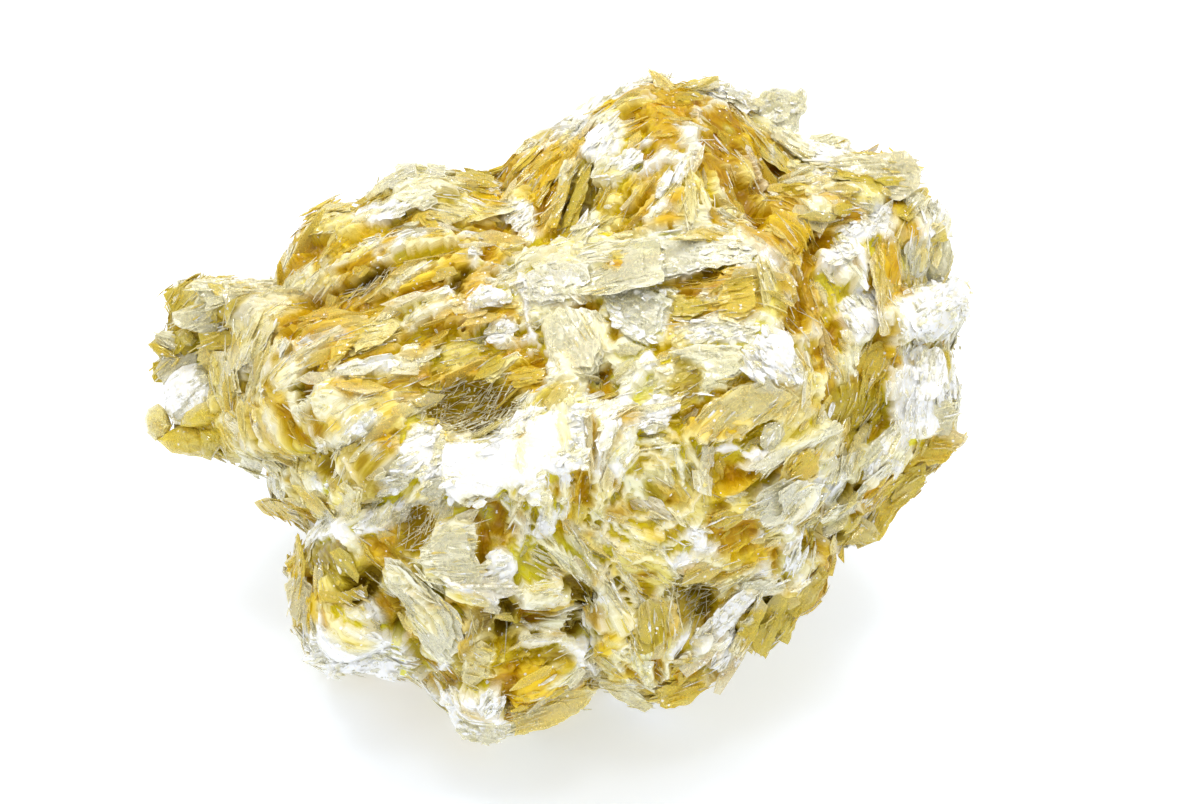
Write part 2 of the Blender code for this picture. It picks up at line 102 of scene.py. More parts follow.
# grain of the show side: layout point, strike in degrees, share lying face-on
GRAIN = [(200, 300, 15, .7), (235, 325, 30, .5), (165, 370, 60, .6), (190, 430, 10, .6), (230, 385, -50, .5),
         (260, 335, 45, .1), (300, 300, 35, .05), (345, 275, 28, .05), (400, 262, 20, .05), (450, 245, 8, .1),
         (250, 370, 60, .2), (285, 360, 42, .1), (260, 430, -42, .1), (300, 440, -45, .1),
         (300, 470, -12, .2), (330, 330, 35, .1), (370, 335, 25, .1), (330, 400, -10, .5), (345, 440, 50, .8),
         (420, 325, 25, .2), (430, 300, 22, .2), (480, 240, 8, .2), (500, 215, 15, .2), (470, 300, 30, .8),
         (500, 330, 20, .6), (560, 320, 8, .5), (570, 350, 0, .3), (440, 375, 30, .5), (450, 400, 30, .7),
         (500, 380, 20, .3), (480, 470, 0, 1.0), (400, 460, 30, 1.0), (560, 440, 80, .9), (570, 490, 85, .2),
         (420, 520, 50, .7), (450, 550, 10, .9), (510, 530, 75, .1), (570, 555, -48, .1), (590, 575, -55, .1),
         (520, 590, -15, .3), (540, 610, 5, .2), (620, 560, -22, .1), (650, 560, -35, .2), (600, 600, -72, .1),
         (615, 640, -75, .2), (640, 650, -82, .2), (665, 660, -75, .3), (625, 690, -35, .2), (660, 695, -50, .3),
         (695, 650, 58, .2), (725, 630, 50, .1), (720, 600, 52, .2), (770, 630, 70, .6), (760, 585, 5, .4),
         (720, 565, 20, .3), (690, 555, 30, .3), (600, 480, 82, .3), (615, 440, 40, .3), (650, 432, 5, .3),
         (700, 470, -75, .4), (680, 520, -50, .2), (640, 515, -30, .2), (620, 525, -28, .2), (650, 540, -25, .2),
         (680, 370, 20, .8), (760, 370, -30, .8), (740, 405, 40, .8), (710, 432, 42, .2), (770, 445, 28, .2),
         (795, 460, 30, .5), (800, 485, 25, .6), (720, 520, 0, .4), (780, 505, 20, .8), (750, 545, 10, .3),
         (800, 540, 82, .2), (795, 400, 60, .7), (815, 370, -70, .05), (808, 330, -75, .05), (790, 290, -80, .1),
         (775, 260, -72, .1), (730, 245, -3, .1), (700, 235, 3, .2), (620, 250, 6, .5), (645, 268, -8, .2),
         (700, 285, 5, .3), (640, 310, -20, .9), (740, 310, 5, .5), (600, 300, -40, .6),
         (850, 300, -60, .6), (870, 320, -55, .6), (895, 250, 60, .4), (880, 285, 62, .3), (930, 250, 75, .4),
         (935, 315, 20, 1.0), (935, 400, 80, .9), (860, 360, 50, .5), (870, 400, 60, .5), (862, 440, 48, .1),
         (885, 460, 42, .1), (820, 430, 25, .7), (910, 440, 55, .4), (900, 490, 42, .3), (850, 512, 15, .2),
         (835, 480, 75, .4), (850, 535, 10, .6), (760, 130, -35, .1), (735, 115, -30, .3), (785, 108, 0, .9),
         (830, 170, 25, .5), (880, 170, 8, .7), (850, 210, 12, .6), (905, 205, 55, .5), (665, 128, 30, .5),
         (605, 130, 60, .9), (640, 108, 40, .4), (700, 95, -5, .6), (720, 130, -20, .4), (740, 190, -58, .1),
         (690, 200, 88, .05), (660, 200, 62, .2), (650, 170, 50, .4), (560, 180, 65, .05), (590, 160, 66, .05),
         (545, 220, 70, .05), (575, 215, 75, .3), (515, 180, 62, .3), (475, 180, 20, .6), (430, 190, 30, .7),
         (385, 205, 20, .8), (335, 215, 20, .6), (325, 245, 25, .3), (300, 255, 50, .3), (430, 228, 12, .1),
         (380, 238, 16, .2), (330, 570, -45, .9), (310, 610, 80, .6), (350, 650, -5, .9), (390, 610, -45, .1),
         (420, 645, -42, .1), (440, 618, -42, .2), (380, 560, -30, .6), (440, 585, -20, .3), (480, 630, 80, .4),
         (500, 700, 10, .8), (540, 680, 20, .6), (560, 655, 5, .3), (470, 725, -10, .9), (575, 700, 35, .2),
         (300, 512, -22, .2), (330, 520, 10, .8), (270, 475, -60, .8), (350, 500, 30, .7), (300, 535, -35, .1)]

# what the sheets are like around a layout point: kind and spread
# W white, C cream, S silver and clear, G straw gold, Y yellow, A amber, O olive, B brown hollow; the second number is
# the white share: pearly sheet, and on W spots where flat sheets face the lamps also painted highlight
KINDS = {"W": ((0.905, 0.89, 0.83), 1.0), "C": ((0.87, 0.75, 0.24), 0.16), "S": ((0.86, 0.805, 0.50), 0.38),
         "G": ((0.68, 0.445, 0.004), 0.0), "Y": ((0.82, 0.61, 0.009), 0.0), "A": ((0.60, 0.38, 0.001), 0.0),
         "O": ((0.47, 0.36, 0.012), 0.0), "B": ((0.28, 0.19, 0.003), 0.0), "Z": ((0.82, 0.815, 0.76), 0.50)}
ZONES = [(715, 130, "A", 14), (725, 172, "A", 15), (738, 208, "A", 15), (752, 230, "A", 12), (820, 258, "A", 16), (793, 312, "A", 12),
         (690, 142, "G", 13), (320, 252, "A", 16), (350, 292, "G", 16), (300, 330, "G", 14), (388, 272, "A", 12), (332, 575, "O", 14),
         (440, 298, "G", 14), (400, 318, "A", 12), (365, 332, "G", 14), (430, 330, "A", 10), (290, 375, "G", 12), (345, 275, "A", 9),
         (520, 690, "S", 26), (486, 700, "W", 9), (555, 690, "S", 14), (660, 372, "S", 22), (705, 360, "S", 20), (640, 405, "S", 16),
         (648, 455, "S", 16), (668, 500, "S", 16), (632, 500, "S", 14), (850, 175, "S", 16), (880, 165, "S", 14), (560, 560, "S", 16),
         (200, 300, "O", 26), (235, 320, "S", 18), (190, 384, "W", 16), (165, 370, "Y", 16), (200, 415, "Y", 16),
         (190, 440, "O", 16), (225, 380, "Y", 14), (250, 395, "A", 9), (275, 415, "A", 10), (240, 425, "C", 14),
         (290, 440, "G", 14), (310, 450, "A", 9), (290, 350, "C", 18), (265, 330, "S", 10), (285, 335, "A", 9),
         (300, 312, "B", 9), (340, 292, "A", 12), (375, 285, "B", 10), (300, 287, "S", 9), (350, 260, "C", 12),
         (400, 250, "S", 10), (440, 240, "C", 12), (330, 330, "G", 16), (330, 365, "A", 10), (300, 395, "B", 8),
         (325, 392, "S", 12), (345, 410, "A", 8), (360, 345, "C", 16), (410, 300, "A", 14), (430, 330, "C", 16),
         (462, 278, "B", 7), (413, 275, "W", 5), (483, 297, "W", 13), (500, 318, "G", 8), (505, 332, "W", 9),
         (460, 345, "W", 12), (520, 340, "G", 14), (440, 365, "A", 10), (515, 365, "A", 14), (560, 320, "C", 20),
         (590, 335, "S", 10), (585, 310, "A", 8), (545, 285, "S", 18), (585, 290, "C", 14), (600, 350, "Y", 16),
         (600, 388, "B", 14), (535, 372, "S", 12), (510, 390, "A", 12), (445, 395, "O", 20), (480, 420, "B", 14),
         (500, 410, "O", 14), (420, 400, "S", 14), (420, 440, "W", 26), (485, 475, "W", 34), (540, 440, "W", 22),
         (575, 425, "W", 20), (385, 440, "G", 8), (390, 470, "W", 20), (345, 430, "W", 10), (338, 455, "O", 9),
         (340, 500, "C", 16), (330, 520, "W", 14), (370, 510, "W", 12), (415, 515, "O", 14), (400, 540, "G", 10),
         (455, 550, "S", 20), (480, 545, "A", 6), (497, 572, "W", 14), (500, 515, "G", 14), (530, 510, "G", 10),
         (530, 485, "W", 12), (555, 485, "Y", 12), (580, 480, "A", 8), (545, 565, "S", 12), (565, 545, "A", 8),
         (590, 570, "A", 9), (585, 590, "B", 12), (540, 590, "S", 12), (505, 600, "B", 12), (530, 612, "A", 8),
         (495, 630, "B", 10), (580, 615, "O", 12), (540, 630, "S", 10), (620, 560, "C", 16), (650, 560, "O", 12),
         (600, 525, "S", 12), (610, 620, "S", 16), (650, 630, "G", 16), (585, 647, "W", 8), (610, 650, "Y", 9),
         (637, 665, "A", 8), (655, 650, "A", 6), (670, 650, "C", 12), (640, 695, "G", 12), (670, 690, "G", 10),
         (700, 650, "W", 12), (725, 635, "W", 14), (700, 680, "C", 10), (715, 620, "Y", 8), (690, 600, "B", 14),
         (700, 612, "O", 8), (760, 605, "B", 12), (770, 630, "O", 16), (765, 587, "S", 10), (720, 580, "S", 12),
         (720, 560, "Y", 14), (790, 555, "W", 7), (775, 560, "A", 7), (800, 580, "G", 10), (805, 600, "O", 9),
         (650, 485, "A", 9), (630, 470, "C", 16), (650, 440, "C", 14), (680, 480, "C", 16), (660, 510, "G", 8),
         (700, 500, "C", 12), (720, 525, "A", 12), (730, 470, "A", 10), (745, 475, "G", 10), (740, 445, "W", 9),
         (705, 545, "W", 6), (735, 537, "A", 8), (760, 540, "G", 10), (780, 505, "S", 18), (800, 515, "W", 10),
         (680, 385, "G", 14), (690, 340, "C", 14), (700, 325, "W", 10), (645, 360, "S", 12), (650, 395, "W", 12),
         (630, 410, "W", 9), (760, 350, "W", 22), (740, 400, "C", 26), (780, 430, "W", 16), (790, 395, "C", 12),
         (725, 425, "Y", 8), (790, 460, "G", 12), (820, 470, "B", 8), (825, 435, "S", 10), (765, 450, "Y", 9),
         (640, 315, "S", 26), (740, 305, "O", 14), (710, 285, "A", 9), (695, 292, "A", 7), (730, 280, "G", 14),
         (700, 245, "S", 14), (740, 245, "G", 12), (640, 245, "W", 12), (620, 255, "S", 16), (650, 275, "C", 14),
         (605, 245, "S", 10), (560, 255, "S", 12), (790, 310, "A", 12), (790, 285, "W", 6), (775, 255, "G", 10),
         (810, 250, "A", 14), (830, 235, "A", 9), (765, 225, "A", 10), (738, 205, "B", 8), (740, 185, "A", 12),
         (720, 130, "A", 16), (745, 115, "Y", 9), (665, 128, "G", 14), (605, 135, "W", 14), (625, 165, "C", 14),
         (640, 112, "A", 8), (650, 152, "A", 8), (690, 155, "W", 9), (668, 190, "W", 8), (690, 200, "C", 9),
         (710, 210, "A", 9), (640, 200, "C", 12), (620, 210, "Y", 12), (770, 170, "B", 10), (770, 140, "Y", 12),
         (800, 160, "C", 12), (785, 108, "S", 16), (720, 92, "W", 10), (665, 88, "Y", 9), (825, 165, "W", 8),
         (880, 170, "O", 16), (850, 185, "S", 12), (840, 205, "O", 10), (870, 225, "W", 14), (810, 215, "S", 12),
         (850, 245, "W", 9), (905, 205, "O", 12), (935, 215, "W", 9), (880, 265, "G", 14), (925, 245, "O", 8),
         (915, 280, "O", 9), (895, 275, "S", 10), (935, 315, "W", 26), (967, 288, "Y", 4), (855, 290, "W", 14),
         (870, 325, "W", 12), (840, 330, "C", 14), (892, 325, "A", 5), (830, 345, "A", 6), (812, 360, "G", 12),
         (880, 355, "G", 12), (925, 365, "O", 6), (925, 395, "W", 18), (900, 400, "W", 12), (953, 405, "A", 4),
         (860, 395, "A", 14), (850, 430, "B", 10), (885, 430, "A", 8), (865, 440, "C", 10), (885, 460, "W", 7),
         (945, 435, "G", 10), (910, 450, "G", 10), (835, 480, "B", 9), (850, 460, "S", 9), (880, 490, "A", 14),
         (910, 475, "G", 10), (860, 512, "A", 8), (835, 520, "B", 9), (860, 530, "O", 9),
         (560, 170, "G", 18), (545, 215, "G", 14), (578, 215, "B", 12), (592, 235, "A", 8), (515, 180, "A", 10),
         (530, 225, "W", 9), (505, 205, "C", 9), (480, 238, "A", 8), (430, 228, "A", 9), (430, 250, "Y", 12),
         (475, 180, "O", 10), (430, 185, "S", 14), (400, 175, "W", 8), (385, 208, "W", 12), (405, 190, "S", 8),
         (335, 215, "C", 12), (340, 228, "A", 6), (318, 250, "A", 12), (317, 262, "B", 6), (295, 255, "C", 9),
         (290, 270, "S", 7), (370, 240, "Y", 9), (440, 210, "C", 10), (480, 255, "W", 8), (490, 262, "A", 7),
         (330, 568, "O", 18), (335, 565, "G", 14), (310, 610, "Y", 16), (300, 585, "C", 12), (345, 650, "W", 22),
         (320, 640, "W", 12), (390, 655, "S", 12), (375, 580, "B", 9), (400, 615, "A", 10), (355, 610, "A", 8),
         (420, 650, "A", 8), (440, 625, "S", 14), (400, 575, "S", 12), (430, 600, "C", 10), (440, 655, "W", 7),
         (475, 640, "G", 10), (460, 665, "B", 8), (490, 700, "W", 11), (470, 728, "W", 13), (455, 705, "W", 9),
         (510, 700, "A", 8), (530, 670, "Y", 16), (555, 655, "O", 10), (560, 685, "C", 12), (540, 710, "C", 10),
         (580, 700, "G", 8), (590, 675, "O", 8), (330, 530, "S", 9), (300, 510, "G", 9), (262, 500, "A", 6),
         (250, 465, "S", 9), (272, 480, "S", 9), (290, 492, "A", 7), (310, 490, "S", 6), (320, 425, "A", 7)]


# ---------------------------------------------------------------- the knot under the sheets
def rim_radius(angle):
    dx, dy = math.cos(angle), math.sin(angle)
    best = 0.0
    for i in range(len(RIM)):
        ax, ay = RIM[i][0] - HEART_PX[0], HEART_PX[1] - RIM[i][1]
        j = (i + 1) % len(RIM)
        ex, ey = RIM[j][0] - HEART_PX[0] - ax, HEART_PX[1] - RIM[j][1] - ay
        den = dx * ey - dy * ex
        if abs(den) < 1e-9:
            continue
        dist, along = (ax * ey - ay * ex) / den, (ax * dy - ay * dx) / den
        if 0.0 <= along <= 1.0 and dist > best:
            best = dist
    return best


RIM_TABLE = np.array([rim_radius(2.0 * math.pi * i / 720) for i in range(720)])
RIM_SOFT = sum(np.roll(RIM_TABLE, k) for k in range(-4, 5)) / 9.0


def noise_at(p, scale, off):
    off = Vector(off)
    return np.array([noise.noise(Vector(q) * scale + off) for q in p * 0.001])


def knot(d, rough=True):
    """Points of the knot's skin for unit directions d = (across, up, front)."""
    step = (np.arctan2(d[:, 1], d[:, 0]) % (2.0 * math.pi)) / (2.0 * math.pi) * 720.0
    i = step.astype(int) % 720
    f = step - step.astype(int)
    edge = (RIM_SOFT[i] * (1 - f) + RIM_SOFT[(i + 1) % 720] * f) * STEP * RIM_INSET
    flat = np.hypot(d[:, 0], d[:, 1])
    half = np.where(d[:, 2] > 0, HALF_FRONT, HALF_BACK)
    r = ((flat / edge) ** ROUND + (np.abs(d[:, 2]) / half) ** ROUND) ** (-1.0 / ROUND)
    p = HEART + np.outer(d[:, 0] * r, U) + np.outer(d[:, 1] * r, V) + np.outer(d[:, 2] * r - SHEAR * d[:, 1] * r, W)
    px, py, _ = unplace(p)
    # the thin wing at the left end
    thin = np.clip((292.0 - px) / 115.0, 0, 1)
    thin = thin * thin * (3 - 2 * thin)
    away = (p - HEART) @ W + SHEAR * d[:, 1] * r
    p = p - np.outer(away * thin * 0.62, W)
    lift = np.zeros(len(p))
    for bx, by, spread, height in RELIEF:
        lift += height * np.exp(-((px - bx) ** 2 + (py - by) ** 2) / (2.0 * spread * spread))
    p = p + np.outer(np.where(d[:, 2] > 0, lift * np.minimum(1.0, d[:, 2] * 3.0), 0.0), W)
    if rough:
        bump = noise_at(p, 55.0, (0, 0, 0)) * 2.0 + noise_at(p, 130.0, (7, 3, 1)) * 1.1
        bump += np.where(d[:, 2] <= 0, noise_at(p, 28.0, (2, 9, 4)) * 3.0 * np.minimum(1.0, -d[:, 2] * 2.5), 0.0)
        p = p + unit(p - HEART) * bump[:, None]
    r_foot = np.hypot(p[:, 0] - HEART[0], p[:, 1] - HEART[1] + 4.0)
    floor = -0.4 + np.where(r_foot > FOOT_R, (np.maximum(r_foot - FOOT_R, 0) / 30.0) ** 2 * FOOT_RISE, 0.0)
    z = np.where(p[:, 2] < floor, floor + (p[:, 2] - floor) * 0.06, p[:, 2])
    p[:, 2] = z
    return p


bm = bmesh.new()
bmesh.ops.create_icosphere(bm, subdivisions=7, radius=1.0)
fine = [f for f in bm.faces if f.calc_center_median().z > 0.16]
fine_edges = list({e for f in fine for e in f.edges})
bmesh.ops.subdivide_edges(bm, edges=fine_edges, cuts=1, use_grid_fill=True)
bmesh.ops.triangulate(bm, faces=[f for f in bm.faces if len(f.verts) > 3])
bm.verts.index_update()
DIR = unit(np.array([v.co[:] for v in bm.verts]))
TRI = np.array([[v.index for v in f.verts] for f in bm.faces])
EDGE = np.array([[e.verts[0].index, e.verts[1].index] for e in bm.edges])
bm.free()
NV = len(DIR)
BASE = knot(DIR)
way_ = (np.arange(720) * 0.5 + 180.0) % 360.0 - 180.0       # degrees, 0 to the right and anticlockwise
HOLD = 22.0 * np.exp(-((np.abs(way_) - 176.0) / 16.0) ** 2) + 6.0 * np.exp(-((way_ - 30.0) / 22.0) ** 2)
for _ in range(3):                       # pull the outline seen by the camera onto the rim
    gx_, gy_, gw_ = unplace(BASE)
    dx_, dy_ = gx_ - HEART_PX[0], HEART_PX[1] - gy_
    turn_ = (np.arctan2(dy_, dx_) % (2 * math.pi)) / (2 * math.pi) * 720.0
    far_ = np.hypot(dx_, dy_)
    seen = np.zeros(720)
    np.maximum.at(seen, turn_.astype(int) % 720, far_)
    seen = np.maximum(seen, np.maximum(np.roll(seen, 1), np.roll(seen, -1)))
    seen = sum(np.roll(seen, k) for k in range(-3, 4)) / 7.0
    goal = sum(np.roll(RIM_TABLE, k) for k in range(-2, 3)) / 5.0 - 17.0 - HOLD
    ratio = goal / seen
    i_ = turn_.astype(int) % 720
    f_ = turn_ - turn_.astype(int)
    rt = ratio[i_] * (1 - f_) + ratio[(i_ + 1) % 720] * f_
    sn = seen[i_] * (1 - f_) + seen[(i_ + 1) % 720] * f_
    grow = 1 + (rt - 1) * np.clip(far_ / sn, 0, 1) ** 3
    BASE = (AXIS0 + np.outer((HEART_PX[0] + dx_ * grow - ORIGIN_PX[0]) * STEP * (1 - gw_ / REACH), U)
        + np.outer((ORIGIN_PX[1] - HEART_PX[1] + dy_ * grow) * STEP * (1 - gw_ / REACH), V) + np.outer(gw_, W))
BASE[:, 2] = np.where(BASE[:, 2] < 0.0, BASE[:, 2] * 0.05, BASE[:, 2])
DEG = np.bincount(EDGE.ravel(), minlength=NV).astype(float)


def around(val):
    """Mean of every vertex's neighbours."""
    if val.ndim == 1:
        return (np.bincount(EDGE[:, 0], weights=val[EDGE[:, 1]], minlength=NV)
                + np.bincount(EDGE[:, 1], weights=val[EDGE[:, 0]], minlength=NV)) / DEG
    return np.stack([around(val[:, c]) for c in range(val.shape[1])], 1)


def soften(val, times):
    for _ in range(times):
        val = 0.4 * val + 0.6 * around(val)
    return val


def normals_of(p):
    fn = np.cross(p[TRI[:, 1]] - p[TRI[:, 0]], p[TRI[:, 2]] - p[TRI[:, 0]])
    n = np.stack([sum(np.bincount(TRI[:, k], weights=fn[:, c], minlength=NV) for k in range(3)) for c in range(3)], 1)
    return unit(n)


NRM = soften(normals_of(BASE), 14)
NRM = unit(NRM)
PX, PY, _ = unplace(BASE)
FACING = (unit(EYE - BASE) * NRM).sum(1)
CELL_AREA = np.zeros(NV)
ta = 0.5 * np.linalg.norm(np.cross(BASE[TRI[:, 1]] - BASE[TRI[:, 0]], BASE[TRI[:, 2]] - BASE[TRI[:, 0]]), axis=1)
for k in range(3):
    CELL_AREA += np.bincount(TRI[:, k], weights=ta / 3.0, minlength=NV)
KD = KDTree(NV)
for i, q in enumerate(BASE.tolist()):
    KD.insert(q, i)
KD.balance()

GR = np.array([(g[0], g[1], math.radians(g[2]), g[3]) for g in GRAIN])


def grain_at(px, py):
    w = 1.0 / ((px - GR[:, 0]) ** 2 + (py - GR[:, 1]) ** 2 + 60.0) ** 2.0
    c, s, f, t = (w * np.cos(2 * GR[:, 2])).sum(), (w * np.sin(2 * GR[:, 2])).sum(), (w * GR[:, 3]).sum(), w.sum()
    return 0.5 * math.atan2(s, c), f / t


ZN = np.array([(z[0], z[1], z[3]) for z in ZONES], float)
ZK = [z[2] for z in ZONES]
PLAIN = [("C", 0.21), ("S", 0.18), ("W", 0.16), ("G", 0.18), ("Y", 0.11), ("A", 0.09), ("O", 0.07)]


def plain_kind(r):
    for k, share in PLAIN:
        if r < share:
            return k
        r -= share
    return "C"


def kind_at(px, py, r1, r2):
    w = np.exp(-((px - ZN[:, 0]) ** 2 + (py - ZN[:, 1]) ** 2) / (1.1 * ZN[:, 2] ** 2))
    top = w.sum()
    if r1 * (top + 0.16) > top:
        return plain_kind(r2)
    pick = r2 * top
    k = int(np.searchsorted(np.cumsum(w), pick))
    return ZK[min(k, len(ZK) - 1)]


def turn(v, axis, angle):
    c, s = math.cos(angle), math.sin(angle)
    return v * c + np.cross(axis, v) * s + axis * (axis @ v) * (1 - c)


def tint_of(kind, r):
    col = np.array(KINDS[kind][0])
    return np.clip(col * (1 + 0.16 * (r.random() - 0.5)) * (1 + 0.06 * (r.random(3) - 0.5)), 0.004, 0.985)


def style_at(i, r):
    """Kind, strike and share lying face-on for a spot of the skin."""
    P, N = BASE[i], NRM[i]
    if FACING[i] > 0.0:
        ang, face = grain_at(PX[i], PY[i])
        ang += 0.35 * (r.random() - 0.5)
        kind = kind_at(PX[i], PY[i], r.random(), r.random())
        strike = U * math.cos(ang) + V * math.sin(ang)
    else:
        q = Vector(P * 0.001)
        ang = 4.5 * noise.noise(q * 32.0 + Vector((4, 4, 4)))
        face = 0.42 + 0.8 * noise.noise(q * 60.0)
        kind = plain_kind(min(0.999, max(0.0, 0.5 + 0.9 * noise.noise(q * 80.0 + Vector((1, 5, 2))) + 0.5 * (r.random() - 0.5))))
        e1 = unit(np.cross(N, (0.3, 0.2, 0.9)))
        strike = e1 * math.cos(ang) + np.cross(N, e1) * math.sin(ang)
    strike = unit(strike - N * (strike @ N) + 1e-6)
    return kind, strike, face


